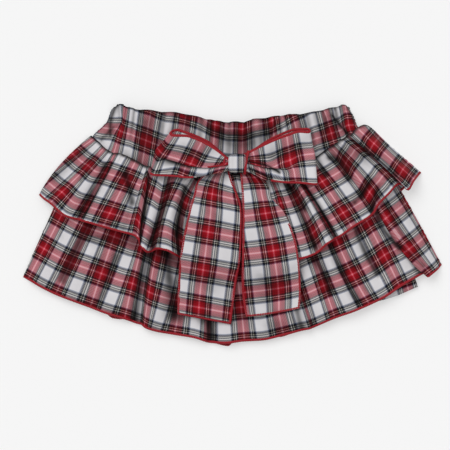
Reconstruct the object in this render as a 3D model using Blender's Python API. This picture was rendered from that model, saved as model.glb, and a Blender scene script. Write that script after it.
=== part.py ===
"""A toddler's tartan skort, laid flat on a table with its front up.

The garment is an elasticated body with two gathered ruffles, plain shorts inside
and a big bow on the front. X runs across it, Y from the hems to the waist, Z up.
The tables give places on the table in millimetres from the middle of the garment,
and heights in millimetres above the cloth that lies below.
"""

from collections import namedtuple

import bmesh
import bpy
import numpy as np

MM = 0.001

# Cloth.
WALL = 1.1
ELASTIC_WALL = 2.4
CASING_SHARE = 0.14
SEAM_GAP = 0.4

# Height map of the pile, in millimetres.
MAP_CELL = 2.0
MAP_HALF_WIDTH = 220.0
MAP_HALF_HEIGHT = 140.0
MAP_BORDER = 1.001
FRONT_TENT = 4
BACK_TENT = 2
SMOOTH_ROUNDS = 3
SETTLE_ROUNDS = 8
FACET_SAMPLES = 6

# Gathers.
SEAM_LIFT_SHARE = 0.35
WAIST_GATHERS = 13
WAIST_GATHER_HEIGHT = 1.0
WAIST_GATHER_FALL = 0.45
WAIST_RIPPLE = 0.9
WAIST_RIPPLE_FALL = 4
BACK_GATHERS = 11
BACK_GATHER_HEIGHT = 1.8
BACK_GATHER_SEAM_SHARE = 0.4

# The knot of the bow.
KNOT_CENTRE = (4.4, 54.6)
KNOT_SIZE = (15.6, 16.4, 9.0)
KNOT_BEVEL = 3.6
KNOT_BEVEL_STEPS = 3
KNOT_CROWN = 1.4
KNOT_SEAT_MARGIN = 4.5

TARTAN_RED = (0.42, 0.03, 0.04, 1.0)
TARTAN_GREY = (0.22, 0.21, 0.22, 1.0)
TARTAN_PALE = (0.62, 0.60, 0.62, 1.0)
COTTON_ROUGHNESS = 0.85
SHARP_EDGE_DEGREES = 50

# One fall line of a gathered panel, from its seam to its hem. "cloth" is its place
# along the cut strip, in repeats of the tartan; the lifts are heights of the fold.
Fall = namedtuple("Fall", "cloth top_x top_y mid_x mid_y hem_x hem_y mid_lift hem_lift")

UPPER_RUFFLE = (
    Fall(-2.05, -127, 80, -155, 54, -174, 27, 0, 0),
    Fall(-1.90, -120, 74, -146, 49, -171, 24, 2, 1.5),
    Fall(-1.5, -115, 69, -140, 42, -164, 19, 3.5, 3),
    Fall(-1.0, -109, 65, -130, 36, -149, 7, 3, 3),
    Fall(-0.6, -106, 64, -122, 33, -138, 4, 0.5, 0.5),
    Fall(-0.3, -103, 64, -119, 33, -135, 3, 1, 1.5),
    Fall(0.0, -99, 63, -116, 32, -131, 2, 5, 5.5),
    Fall(0.5, -88, 58, -104, 25, -117, -2, 4.5, 4.5),
    Fall(1.0, -79, 53, -90, 21, -99, -7, 4, 4),
    Fall(1.4, -76, 52, -84, 18, -88, -10, 5, 5.5),
    Fall(1.55, -74, 52, -82, 15, -84, -14, 5, 5.5),
    Fall(1.7, -72, 51, -80, 14, -83, -18, 1, 1),
    Fall(2.0, -65, 49, -73, 10, -80, -22, 4.5, 5),
    Fall(2.3, -60, 48, -67, 9, -76, -25, 3, 3),
    Fall(2.5, -56, 48, -64, 9, -72, -24, 0, 0),
    Fall(2.75, -49, 47, -61, 9, -67, -22, 3, 3),
    Fall(3.0, -38, 47, -56, 10, -60, -23, 5.5, 5.5),
    Fall(3.3, -33, 46, -50, 9, -52, -27, 3.5, 3.5),
    Fall(3.5, -30, 46, -46, 7, -47, -30, 0, 0),
    Fall(4.0, -26, 45, -38, 8, -40, -33, 4, 4),
    Fall(4.5, -22, 45, -30, 7, -31, -32, 0.5, 0.5),
    Fall(5.0, -16, 45, -20, 5, -22, -34, 4, 4),
    Fall(5.5, -10, 45, -11, 5, -12, -33, 0.5, 0.5),
    Fall(6.0, -4, 45, -1, 4, -1, -36, 4, 4),
    Fall(6.5, 3, 45, 9, 4, 10, -34, 0.5, 0.5),
    Fall(7.0, 11, 45, 19, 4, 21, -36, 4, 4),
    Fall(7.5, 20, 45, 30, 5, 34, -34, 0.5, 0.5),
    Fall(8.0, 29, 45, 40, 6, 45, -35, 4, 4),
    Fall(8.5, 34, 46, 47, 7, 55, -32, 1, 1),
    Fall(9.0, 38, 47, 55, 5, 65, -30, 4.5, 4.5),
    Fall(9.5, 47, 48, 64, 11, 77, -25, 2, 2.5),
    Fall(10.0, 51, 49, 71, 15, 86, -17, 4.5, 4.5),
    Fall(10.5, 55, 49, 76, 14, 93, -13, 0, 0),
    Fall(11.0, 60, 51, 80, 20, 98, -10, 4, 3.5),
    Fall(11.5, 69, 57, 90, 27, 109, -2, 4, 3.5),
    Fall(12.0, 79, 63, 101, 36, 122, 6, 4.5, 4),
    Fall(12.3, 85, 68, 109, 37, 127, 10, 1.5, 1),
    Fall(12.5, 89, 70, 115, 40, 131, 17, 1, 1),
    Fall(13.0, 95, 74, 122, 49, 140, 27, 4, 3.5),
    Fall(13.4, 101, 78, 129, 55, 150, 36, 1.2, 1),
    Fall(13.6, 104, 81, 135, 57, 153, 37, 0.8, 0.8),
    Fall(14.0, 106, 80, 132, 56, 158, 31, 5, 5),
    Fall(14.5, 110, 84, 139, 61, 164, 40, 5.5, 5),
    Fall(14.9, 119, 90, 144, 67, 170, 47, 0, 0),
)

LOWER_RUFFLE = (
    Fall(-0.75, -146, 47, -169, -3, -188.4, -47, 0, 0),
    Fall(-0.5, -138, 42, -160, -4, -183, -50, 1, 1),
    Fall(0.0, -126, 37, -149, -9, -173, -56, 2, 2),
    Fall(0.5, -113, 31, -135, -14, -159, -63, 1, 1),
    Fall(1.0, -104, 29, -124, -17, -146, -68, 2.5, 2),
    Fall(1.5, -91, 27, -108, -18, -127, -75, 1, 1),
    Fall(2.0, -77, 26, -92, -25, -114, -80, 2, 2),
    Fall(2.5, -69, 25, -84, -29, -97, -85, 3.5, 3),
    Fall(2.9, -65, 24, -78, -34, -86, -89, 0, 0),
    Fall(3.2, -62, 24, -75, -35, -82, -90, 0, 0),
    Fall(3.5, -58, 23, -69, -34, -78, -93, 3, 3),
    Fall(4.0, -49, 22, -53, -36, -69, -96, 4, 3),
    Fall(4.5, -42, 21, -43, -37, -52, -99, 2, 2),
    Fall(5.0, -33, 20, -31, -39, -34, -102, 3, 3),
    Fall(5.4, -26, 19, -24, -41, -25, -105, 3.5, 3.5),
    Fall(5.6, -23, 19, -21, -41, -22, -106, 0.5, 0.5),
    Fall(6.0, -16, 18, -11, -42, -7, -107, 3, 2.5),
    Fall(6.5, -6, 18, 3, -42, 10, -105, 1.5, 1.5),
    Fall(7.0, 7, 18, 17, -41, 27, -104, 3, 2.5),
    Fall(7.5, 20, 18, 32, -39, 45, -100, 2, 2),
    Fall(8.0, 30, 19, 46, -36, 64, -95, 3.5, 3),
    Fall(8.2, 34, 20, 50, -34, 69, -94, 3.5, 3.5),
    Fall(8.6, 37, 20, 53, -33, 72, -93, 0.5, 0.5),
    Fall(9.0, 43, 21, 63, -32, 81, -89, 3, 2.5),
    Fall(9.5, 56, 25, 74, -30, 93, -84, 1.5, 1.5),
    Fall(10.0, 65, 28, 86, -28, 110, -78, 3, 2.5),
    Fall(10.5, 80, 32, 100, -23, 126, -71, 1.5, 1.5),
    Fall(11.0, 92, 36, 113, -14, 138, -65, 3, 2.5),
    Fall(11.5, 102, 40, 128, -8, 151, -56, 2.5, 2),
    Fall(12.0, 109, 43, 142, -8, 163, -49, 1.5, 1.5),
    Fall(12.2, 113, 44, 147, -9, 173, -44, 0.5, 0.5),
    Fall(12.35, 116, 45, 145, -13, 176, -47, 3.5, 4.5),
    Fall(12.5, 120, 45, 147, -3, 179, -45, 4.5, 4.5),
    Fall(13.0, 129, 47, 158, 2, 185, -40, 3.5, 3),
    Fall(13.4, 140, 51, 164, 9, 188.4, -36, 0, 0),
)

BODY_FRONT = (
    Fall(-0.25, -107, 106, -121, 84, -142, 49, 0, 0),
    Fall(0.0, -101, 108.5, -110, 77, -130, 38, 0, 0),
    Fall(0.5, -95, 106.5, -103, 72, -115, 33, 0, 0),
    Fall(1.0, -88, 104.5, -93, 68, -101, 29, 0, 0),
    Fall(1.5, -74, 103, -80, 63, -86, 26, 0, 0),
    Fall(2.0, -58, 101.5, -65, 58, -69, 23, 0, 0),
    Fall(2.5, -43, 100, -49, 55, -52, 21, 0, 0),
    Fall(3.0, -27, 96, -32, 53, -34, 19, 0, 0),
    Fall(3.5, -15, 93.5, -18, 52, -19, 18, 0, 0),
    Fall(4.0, -3, 92.5, -5, 51, -6, 18, 0, 0),
    Fall(4.5, 8, 92.5, 8, 51, 8, 18, 0, 0),
    Fall(5.0, 20, 95, 22, 52, 23, 18, 0, 0),
    Fall(5.5, 34, 97, 38, 54, 39, 19, 0, 0),
    Fall(6.0, 44, 98.5, 50, 56, 54, 22, 0, 0),
    Fall(6.5, 55, 99.5, 64, 60, 68, 26, 0, 0),
    Fall(7.0, 70, 101, 78, 65, 85, 31, 0, 0),
    Fall(7.5, 83, 104, 92, 72, 102, 36, 0, 0),
    Fall(8.0, 92, 106, 100, 78, 115, 41, 0, 0),
    Fall(8.5, 100, 108, 105, 84, 126, 45, 0, 0),
    Fall(8.8, 105, 106, 112, 88, 138, 52, 0, 0),
)

BODY_BACK = (
    Fall(-0.5, -105, 105, -119, 83, -139, 49, 0, 0),
    Fall(0.5, -88, 103, -98, 70, -116, 35, 0, 0),
    Fall(2.0, -55, 100, -62, 58, -72, 24, 0, 0),
    Fall(3.5, -22, 95, -26, 53, -30, 20, 0, 0),
    Fall(4.5, 4, 91.5, 4, 51, 4, 19, 0, 0),
    Fall(5.5, 32, 95, 37, 54, 40, 20, 0, 0),
    Fall(7.0, 66, 99.5, 74, 63, 84, 31, 0, 0),
    Fall(8.5, 92, 104, 100, 77, 116, 41, 0, 0),
    Fall(9.3, 103, 104.5, 110, 87, 135, 52, 0, 0),
)

UPPER_RUFFLE_BACK = (
    Fall(-2.0, -125, 78, -153, 53, -172, 27, 0, 0),
    Fall(0.5, -95, 62, -118, 30, -138, 4, 0, 0),
    Fall(2.5, -60, 50, -74, 14, -84, -14, 0, 0),
    Fall(4.5, -28, 46, -34, 6, -38, -28, 0, 0),
    Fall(6.5, 4, 45, 6, 4, 8, -32, 0, 0),
    Fall(8.5, 36, 47, 48, 8, 57, -27, 0, 0),
    Fall(10.5, 66, 54, 86, 22, 101, -6, 0, 0),
    Fall(13.0, 95, 72, 124, 43, 143, 22, 0, 0),
    Fall(15.0, 117, 88, 142, 65, 168, 46, 0, 0),
)

LOWER_RUFFLE_BACK = (
    Fall(-1.0, -143, 48, -166, -2, -185, -45, 0, 0),
    Fall(1.0, -113, 33, -132, -16, -154, -62, 0, 0),
    Fall(2.4, -84, 27, -98, -26, -116, -77, 0, 0),
    Fall(2.6, -79, 26, -92, -28, -108, -84, 0, 0),
    Fall(2.8, -74, 26, -86, -30, -100, -85, 0, 0),
    Fall(3.0, -70, 25, -82, -32, -94, -84, 0, 0),
    Fall(5.0, -34, 21, -35, -40, -36, -99, 0, 0),
    Fall(5.6, -18, 19, -14, -42, -16, -106.5, 0, 0),
    Fall(6.0, -10, 18, -5, -42, -3.5, -109.2, 0, 0),
    Fall(6.2, -4, 18, 0, -42, 2, -104, 0, 0),
    Fall(7.0, 16, 18, 28, -40, 37, -99, 0, 0),
    Fall(7.4, 24, 19, 36, -38, 43, -101, 0, 0),
    Fall(7.8, 30, 19, 42, -37, 54, -97.5, 0, 0),
    Fall(9.0, 46, 22, 64, -32, 78, -86, 0, 0),
    Fall(11.0, 84, 34, 104, -20, 126, -67, 0, 0),
    Fall(12.6, 112, 44, 139, -7, 161, -46, 0, 0),
    Fall(13.6, 137, 52, 161, 9, 185, -35, 0, 0),
)

SHORTS = (
    Fall(0.0, -99, 98, -121, 31, -153, -54, 0, 0),
    Fall(0.8, -83, 94, -99, 27, -124, -65, 0.4, 0.4),
    Fall(2.0, -56, 90, -65, 18, -74, -70, 0, 0),
    Fall(3.2, -25, 85, -29, 9, -18, -68, 0.4, 0.4),
    Fall(3.9, -7, 83, -8, 17, -2, -53, 0, 0),
    Fall(4.2, 0, 83, 0, 22, 3, -48, 0, 0),
    Fall(4.5, 7, 83, 7, 17, 10, -53, 0, 0),
    Fall(5.2, 27, 85, 32, 9, 27, -72, 0.4, 0.4),
    Fall(6.4, 61, 90, 74, 18, 83, -80, 0, 0),
    Fall(7.4, 88, 96, 101, 22, 119, -72, 0.4, 0.4),
    Fall(8.0, 97, 98, 122, 27, 144, -65.5, 0, 0),
    Fall(8.8, 102, 99, 136, 31, 167, -56, 0, 0),
)

# One place along a bow tail: its left edge, middle and right edge.
Band = namedtuple("Band", "left_x left_y mid_x mid_y right_x right_y left_lift mid_lift right_lift")

LEFT_TAIL = (
    Band(-16, 46, -9, 46, -2, 45.5, 1.0, 2.2, 1.0),
    Band(-31, 40, -16, 40, -0.5, 39, 0.4, 1.8, 0.6),
    Band(-37, 26, -17, 25, 4, 28, 0.2, 1.4, 0.5),
    Band(-40.5, 13, -16, 9.5, 8, 14, 0.2, 1.0, 0.6),
    Band(-46, -13, -19.5, -16.5, 8, -14, 0.2, 0.8, 0.6),
    Band(-48, -34, -21.5, -37.5, 6.5, -34, 0.2, 0.6, 0.6),
    Band(-49.5, -55, -23.5, -58, 3, -55, 0.2, 0.6, 0.4),
    Band(-49, -80.5, -24.5, -85, -1.5, -89.5, 0.2, 0.4, 0.2),
)

RIGHT_TAIL = (
    Band(6, 45.5, 14, 46, 23, 46, 1.0, 2.2, 1.0),
    Band(8, 38.5, 22, 38.5, 36, 38, 0.6, 1.8, 0.4),
    Band(9, 26, 25, 25, 41, 22, 0.6, 1.4, 0.2),
    Band(9.5, 11, 29, 9.5, 47, 10, 0.6, 1.0, 0.2),
    Band(9.4, -10, 32, -11, 55, -10, 0.6, 0.8, 0.2),
    Band(9, -34, 34, -34, 59, -30, 0.6, 0.6, 0.2),
    Band(9, -59, 35, -57, 61, -55, 0.4, 0.6, 0.2),
    Band(12.5, -82.5, 35, -80, 60, -75, 0.2, 0.4, 0.2),
)

# One place along a bow loop, from the knot round and back to it: its upper edge, its
# crease and its lower edge. "tuck" is how far the crease laps over the cloth below.
Loop = namedtuple("Loop", "top_x top_y fold_x fold_y low_x low_y top_lift fold_lift low_lift tuck")

LEFT_LOOP = (
    Loop(-4.4, 57.5, -4.4, 52.5, -4.4, 48, 0.2, 0.2, 0.2, 0.0),
    Loop(-24, 76, -25, 60, -26, 45, 0.2, 0.2, 0.2, 0.0),
    Loop(-41, 83, -45, 62, -45, 44, 0.2, 0.2, 0.2, 0.0),
    Loop(-50, 85.5, -61, 65, -65, 44, 0.8, 0.8, 0.8, 0.0),
    Loop(-55, 83, -69, 66, -73.5, 45, 3.4, 3.4, 3.4, 0.0),
    Loop(-53, 80.5, -65, 61, -69, 43.5, 5.6, 6.4, 5.4, 0.5),
    Loop(-42, 79, -51, 56.5, -54, 43, 6.4, 7.6, 5.4, 1.0),
    Loop(-31, 76, -38, 52.5, -40, 41.5, 6.4, 7.6, 5.4, 1.0),
    Loop(-18, 71, -24, 51, -25, 43.5, 6.0, 7.0, 5.0, 1.0),
    Loop(-4.4, 59.5, -4.4, 54, -4.4, 48, 5.0, 5.6, 4.6, 0.2),
)

RIGHT_LOOP = (
    Loop(13.2, 63, 13.2, 56, 13.2, 48, 0.2, 0.2, 0.2, 0.0),
    Loop(36, 78, 36, 58, 37, 40, 0.2, 0.2, 0.2, 0.0),
    Loop(57, 86, 59, 62, 60, 38, 0.2, 0.2, 0.2, 0.0),
    Loop(67, 86.3, 70, 62, 72, 37, 0.8, 0.8, 0.8, 0.0),
    Loop(69.5, 85, 74, 60.5, 75.8, 35.5, 3.4, 3.4, 3.4, 0.0),
    Loop(67.5, 83.5, 72, 60.5, 73, 35.4, 5.6, 6.0, 5.4, 0.0),
    Loop(60, 83, 61, 59, 61, 36.6, 6.6, 7.0, 6.0, 0.0),
    Loop(48, 79, 47, 50, 46.5, 37.2, 6.4, 7.4, 5.4, 0.4),
    Loop(32, 72.5, 31, 51, 33, 39, 6.0, 7.2, 5.0, 1.0),
    Loop(13.2, 65, 13.2, 56, 13.2, 48.5, 5.0, 5.6, 4.6, 0.2),
)
TUCK_REACH = 0.16
TUCK_DROP = 2.2

# Mesh columns between two fall lines, and rows from seam to hem.
RUFFLE_COLUMNS = 2
BODY_COLUMNS = 3
BACK_COLUMNS = 64
SHORTS_COLUMNS = 2
BOW_COLUMNS = 2
UPPER_ROWS = 5
LOWER_ROWS = 6
BODY_ROWS = 7
BACK_ROWS = 5
SHORTS_ROWS = 5
LOOP_ROWS = 8
TAIL_ROWS = 6


def remove_objects():
    for item in list(bpy.data.objects):
        bpy.data.objects.remove(item, do_unlink=True)


def cotton(name, colour):
    """A matt cotton with the part's own colour."""
    material = bpy.data.materials.new(name)
    material.use_nodes = True
    shader = material.node_tree.nodes["Principled BSDF"]
    shader.inputs["Base Color"].default_value = colour
    shader.inputs["Roughness"].default_value = COTTON_ROUGHNESS
    shader.inputs["Metallic"].default_value = 0.0
    return material


def hermite(knots, values, slopes, at):
    """A cubic curve with the given values and slopes at its knots."""
    cell = np.clip(np.searchsorted(knots, at, side="right") - 1, 0, len(knots) - 2)
    span = (knots[cell + 1] - knots[cell])[:, None]
    step = (at - knots[cell])[:, None] / span
    rise = step * step * (3 - 2 * step)
    leave = step * (1 - step) ** 2 * span
    arrive = step * step * (step - 1) * span
    start = values[cell] * (1 - rise) + slopes[cell] * leave
    return start + values[cell + 1] * rise + slopes[cell + 1] * arrive


def smooth(knots, values, at):
    """A curve through the values, rounded at every knot."""
    knots = np.asarray(knots, float)
    flat = np.asarray(values, float).reshape(len(knots), -1)
    slopes = np.gradient(flat, knots, axis=0, edge_order=min(2, len(knots) - 1))
    result = hermite(knots, flat, slopes, np.asarray(at, float))
    return result.reshape((len(at),) + np.shape(values)[1:])


def smooth_without_overshoot(knots, values, at):
    """A curve through the values that stays level at each crest and valley."""
    knots = np.asarray(knots, float)
    flat = np.asarray(values, float).reshape(len(knots), -1)
    steps = np.diff(knots)[:, None]
    rates = np.diff(flat, axis=0) / steps
    before, after = rates[:-1], rates[1:]
    same_way = before * after > 0
    weight_after = 2 * steps[1:] + steps[:-1]
    weight_before = steps[1:] + 2 * steps[:-1]
    safe_before = np.where(same_way, before, 1.0)
    safe_after = np.where(same_way, after, 1.0)
    mean = (weight_after + weight_before) / (weight_after / safe_before + weight_before / safe_after)
    slopes = np.vstack([rates[:1], np.where(same_way, mean, 0.0), rates[-1:]])
    result = hermite(knots, flat, slopes, np.asarray(at, float))
    return result.reshape((len(at),) + np.shape(values)[1:])


def between(knots, parts):
    """The knots, with each interval split into equal parts."""
    knots = np.asarray(knots, float)
    inner = [np.linspace(a, b, parts, endpoint=False) for a, b in zip(knots, knots[1:])]
    return np.concatenate(inner + [knots[-1:]])


# ---- The pile: heights of the cloth that already lies on the table ----

def empty_pile():
    rows = int(2 * MAP_HALF_HEIGHT / MAP_CELL) + 1
    columns = int(2 * MAP_HALF_WIDTH / MAP_CELL) + 1
    return np.zeros((rows, columns))


def map_place(pile, x, y):
    """The map cell at or before each point, and how far past it the point lies."""
    across = np.clip((x + MAP_HALF_WIDTH) / MAP_CELL, 0, pile.shape[1] - MAP_BORDER)
    up = np.clip((y + MAP_HALF_HEIGHT) / MAP_CELL, 0, pile.shape[0] - MAP_BORDER)
    column = across.astype(int)
    row = up.astype(int)
    return row, column, up - row, across - column


def highest_near(pile, x, y):
    """The highest of the four map points round each place."""
    row, column, _, _ = map_place(pile, x, y)
    first = np.maximum(pile[row, column], pile[row, column + 1])
    second = np.maximum(pile[row + 1, column], pile[row + 1, column + 1])
    return np.maximum(first, second)


def height_at(pile, x, y):
    """The map's height at each place, read between its points."""
    row, column, up, across = map_place(pile, x, y)
    near = pile[row, column] * (1 - across) + pile[row, column + 1] * across
    far = pile[row + 1, column] * (1 - across) + pile[row + 1, column + 1] * across
    return near * (1 - up) + far * up


def shifted(pile, rows, columns):
    """The map moved by some cells, with its border repeated."""
    edge = max(abs(rows), abs(columns), 1)
    padded = np.pad(pile, edge, mode="edge")
    height, width = pile.shape
    return padded[edge + rows:edge + rows + height, edge + columns:edge + columns + width]


def soft_bed(pile, tent):
    """The pile as a sheet of cloth bridges it: spread by some cells, then smoothed."""
    bed = pile
    for _ in range(tent):
        bed = np.maximum.reduce([bed, shifted(bed, 1, 0), shifted(bed, -1, 0)])
        bed = np.maximum.reduce([bed, shifted(bed, 0, 1), shifted(bed, 0, -1)])
    reach = range(1 - tent, tent)
    for _ in range(SMOOTH_ROUNDS):
        bed = np.mean([shifted(bed, step, 0) for step in reach], axis=0)
        bed = np.mean([shifted(bed, 0, step) for step in reach], axis=0)
    return bed


def facet_points(surface):
    """Points on the two triangles of every cell of a surface grid."""
    share = np.linspace(0, 1, FACET_SAMPLES)
    across, down = (axis.ravel()[None, None, :, None] for axis in np.meshgrid(share, share))
    first = surface[:-1, :-1, None, :]
    right = surface[:-1, 1:, None, :]
    below = surface[1:, :-1, None, :]
    last = surface[1:, 1:, None, :]
    one = first + across * (right - first) + down * (last - right)
    other = first + down * (below - first) + across * (last - below)
    return np.where(across >= down, one, other)


def two_sides(middle, wall):
    """The two faces of a sheet, half its wall to each side of its middle."""
    down = np.gradient(middle, axis=0)
    across = np.gradient(middle, axis=1)
    normal = np.cross(down, across)
    length = np.linalg.norm(normal, axis=2, keepdims=True)
    offset = normal / np.maximum(length, 1e-9) * (np.asarray(wall)[..., None] / 2)
    return middle + offset, middle - offset


def add_to_pile(pile, sides):
    for side in sides:
        points = facet_points(side).reshape(-1, 3)
        row, column, _, _ = map_place(pile, points[:, 0], points[:, 1])
        for place in ((row, column), (row + 1, column), (row, column + 1), (row + 1, column + 1)):
            np.maximum.at(pile, place, points[:, 2] + SEAM_GAP)


def corner_lift(short):
    """Each grid point's rise: the largest shortfall of the cells round it."""
    padded = np.pad(short, 1)
    left = np.maximum(padded[:-1, :-1], padded[1:, :-1])
    right = np.maximum(padded[:-1, 1:], padded[1:, 1:])
    return np.maximum(left, right)


def settle(pile, plan, lift, wall, tent, as_one):
    """Lays a sheet on the pile, raised wherever it would cut into the cloth below."""
    bed = height_at(soft_bed(pile, tent), plan[..., 0], plan[..., 1])
    middle = np.dstack([plan, bed + lift + wall / 2])
    for _ in range(SETTLE_ROUNDS):
        short = 0
        for side in two_sides(middle, wall):
            points = facet_points(side)
            below = highest_near(pile, points[..., 0], points[..., 1])
            short = np.maximum(short, (below - points[..., 2]).max(axis=2))
        if short.max() <= 0:
            break
        middle[..., 2] += short.max() if as_one else corner_lift(short)
    return middle


# ---- Meshes ----

def closed_sheet(name, sides, material):
    """A closed wall between the two faces of a sheet."""
    upper, lower = sides
    rows, columns = upper.shape[:2]
    index = np.arange(rows * columns).reshape(rows, columns)
    under = rows * columns
    first, right = index[:-1, :-1].ravel(), index[:-1, 1:].ravel()
    below, last = index[1:, :-1].ravel(), index[1:, 1:].ravel()
    top = np.vstack([np.column_stack([first, right, last]), np.column_stack([first, last, below])])
    rim = np.concatenate([index[0], index[1:, -1], index[-1, -2::-1], index[-2:0:-1, 0]])
    following = np.roll(rim, -1)
    edge = np.vstack([
        np.column_stack([rim, rim + under, following + under]),
        np.column_stack([rim, following + under, following]),
    ])
    faces = np.vstack([top, top[:, ::-1] + under, edge])
    points = np.vstack([upper.reshape(-1, 3), lower.reshape(-1, 3)]) * MM
    mesh = bpy.data.meshes.new(name)
    mesh.from_pydata(points.tolist(), [], faces.tolist())
    finish_mesh(mesh, material)
    return add_object(name, mesh)


def finish_mesh(mesh, material):
    work = bmesh.new()
    work.from_mesh(mesh)
    bmesh.ops.recalc_face_normals(work, faces=work.faces)
    work.to_mesh(mesh)
    work.free()
    mesh.materials.append(material)
    mesh.shade_smooth()
    mesh.set_sharp_from_angle(angle=np.radians(SHARP_EDGE_DEGREES))


def add_object(name, mesh):
    item = bpy.data.objects.new(name, mesh)
    bpy.context.scene.collection.objects.link(item)
    return item


# ---- Panels ----

def fall_grid(falls, columns, rows):
    """Plan, lift and place along the cloth of a panel, seam row first."""
    cloth = np.array([fall.cloth for fall in falls])
    net = np.array([
        [
            (fall.top_x, fall.top_y, fall.mid_lift * SEAM_LIFT_SHARE),
            (fall.mid_x, fall.mid_y, fall.mid_lift),
            (fall.hem_x, fall.hem_y, fall.hem_lift),
        ]
        for fall in falls
    ])
    across = smooth_without_overshoot(cloth, net, columns)
    down = np.linspace(0, 1, rows + 1)
    grid = smooth([0, 0.5, 1], np.swapaxes(across, 0, 1), down)
    return grid[..., :2], np.maximum(grid[..., 2], 0), down[:, None]


def lay(pile, name, plan, lift, wall, material, tent=FRONT_TENT, as_one=False):
    """Settles a sheet on the pile, makes its solid and adds it to the pile."""
    middle = settle(pile, plan, lift, wall, tent, as_one)
    sides = two_sides(middle, np.broadcast_to(wall, lift.shape))
    add_to_pile(pile, sides)
    return closed_sheet(name, sides, material)


def ruffle(pile, name, falls, rows, material):
    columns = between([fall.cloth for fall in falls], RUFFLE_COLUMNS)
    plan, lift, _ = fall_grid(falls, columns, rows)
    return lay(pile, name, plan, lift, WALL, material)


def back_ruffle(pile, name, falls, material):
    """A ruffle of the back: narrow gathers that stand up between flat stretches."""
    columns = np.linspace(falls[0].cloth, falls[-1].cloth, BACK_COLUMNS + 1)
    plan, lift, down = fall_grid(falls, columns, BACK_ROWS)
    share = (columns - columns[0]) / (columns[-1] - columns[0])
    wave = np.maximum(0, -np.cos(2 * np.pi * BACK_GATHERS * share)) ** 2
    rise = BACK_GATHER_SEAM_SHARE + (1 - BACK_GATHER_SEAM_SHARE) * down
    lift = lift + BACK_GATHER_HEIGHT * wave[None, :] * rise
    return lay(pile, name, plan, lift, WALL, material, tent=BACK_TENT)


def waist_panel(pile, name, falls, columns, rows, material, tent):
    """The body: gathered at its waist, where a casing holds the elastic."""
    plan, lift, down = fall_grid(falls, columns, rows)
    share = (columns - columns[0]) / (columns[-1] - columns[0])
    wave = np.sin(np.pi * WAIST_GATHERS * share) ** 2
    gather = np.clip(1 - down / WAIST_GATHER_FALL, 0, 1)
    lift = lift + WAIST_GATHER_HEIGHT * gather * wave[None, :]
    plan[..., 1] += WAIST_RIPPLE * gather ** WAIST_RIPPLE_FALL * (wave[None, :] - 1)
    casing = np.clip(1 - down / CASING_SHARE, 0, 1) * np.ones_like(lift)
    wall = WALL + (ELASTIC_WALL - WALL) * casing
    return lay(pile, name, plan, lift, wall, material, tent=tent)


def shorts_panel(pile, name, material):
    """A whole side of the shorts: both legs and the rise between them."""
    columns = between([fall.cloth for fall in SHORTS], SHORTS_COLUMNS)
    plan, lift, _ = fall_grid(SHORTS, columns, SHORTS_ROWS)
    return lay(pile, name, plan, lift, WALL, material, tent=BACK_TENT)


def tail(pile, name, bands, material):
    """A tail of the bow, from the knot down to its end."""
    places = np.arange(len(bands), dtype=float)
    net = np.array([
        [
            (band.left_x, band.left_y, band.left_lift),
            (band.mid_x, band.mid_y, band.mid_lift),
            (band.right_x, band.right_y, band.right_lift),
        ]
        for band in bands
    ])
    along = smooth(places, net, between(places, BOW_COLUMNS))
    across = np.linspace(0, 1, TAIL_ROWS + 1)
    grid = smooth([0, 0.5, 1], np.swapaxes(along, 0, 1), across)
    grid = np.swapaxes(grid, 0, 1)
    return lay(pile, name, grid[..., :2], grid[..., 2], WALL, material)


def loop_net(places):
    """Five points across each place of a bow loop: edge, face, crease, tuck, edge."""
    net = []
    for place in places:
        top = np.array([place.top_x, place.top_y, place.top_lift])
        fold = np.array([place.fold_x, place.fold_y, place.fold_lift])
        low = np.array([place.low_x, place.low_y, place.low_lift])
        under = fold + (top - fold) * TUCK_REACH
        under[2] = min(fold[2], low[2]) - TUCK_DROP * place.tuck
        tucked = (fold + low) / 2 * (1 - place.tuck) + under * place.tuck
        net.append((top, (top + fold) / 2, fold, tucked, low))
    return np.array(net)


def loop(pile, name, places, material):
    """A loop of the bow: back layer, turn and front layer of one band."""
    knots = np.arange(len(places), dtype=float)
    net = loop_net(places)
    along = smooth_without_overshoot(knots, net, between(knots, BOW_COLUMNS))
    across = np.linspace(0, 1, LOOP_ROWS + 1)
    lines = np.linspace(0, 1, net.shape[1])
    grid = smooth_without_overshoot(lines, np.swapaxes(along, 0, 1), across)
    return lay(pile, name, grid[..., :2], grid[..., 2], WALL, material, as_one=True)


def knot(pile, material):
    """The knot: a short band wrapped tightly round the middle of the bow.

    It is laid before the loops, which end beside it.
    """
    half_x, half_y = KNOT_SIZE[0] / 2, KNOT_SIZE[1] / 2
    share = np.linspace(-1, 1, FACET_SAMPLES)
    seat_x = KNOT_CENTRE[0] + share * (half_x - KNOT_SEAT_MARGIN)
    seat_y = KNOT_CENTRE[1] + share * (half_y - KNOT_SEAT_MARGIN)
    below = highest_near(pile, *np.meshgrid(seat_x, seat_y)).max()
    work = bmesh.new()
    bmesh.ops.create_cube(work, size=1.0)
    bmesh.ops.scale(work, vec=KNOT_SIZE, verts=work.verts)
    bmesh.ops.bevel(
        work,
        geom=list(work.edges),
        offset=KNOT_BEVEL,
        segments=KNOT_BEVEL_STEPS,
        profile=0.5,
        affect="EDGES",
        clamp_overlap=True,
    )
    bmesh.ops.triangulate(work, faces=work.faces)
    for vert in work.verts:
        middle = (1 - (vert.co.x / half_x) ** 2) * (1 - (vert.co.y / half_y) ** 2)
        if vert.co.z > 0:
            vert.co.z += KNOT_CROWN * max(0.0, middle)
        vert.co.x += KNOT_CENTRE[0]
        vert.co.y += KNOT_CENTRE[1]
        vert.co.z += below + KNOT_SIZE[2] / 2
        vert.co *= MM
    mesh = bpy.data.meshes.new("bow_knot")
    work.to_mesh(mesh)
    work.free()
    finish_mesh(mesh, material)
    return add_object("bow_knot", mesh)


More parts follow.
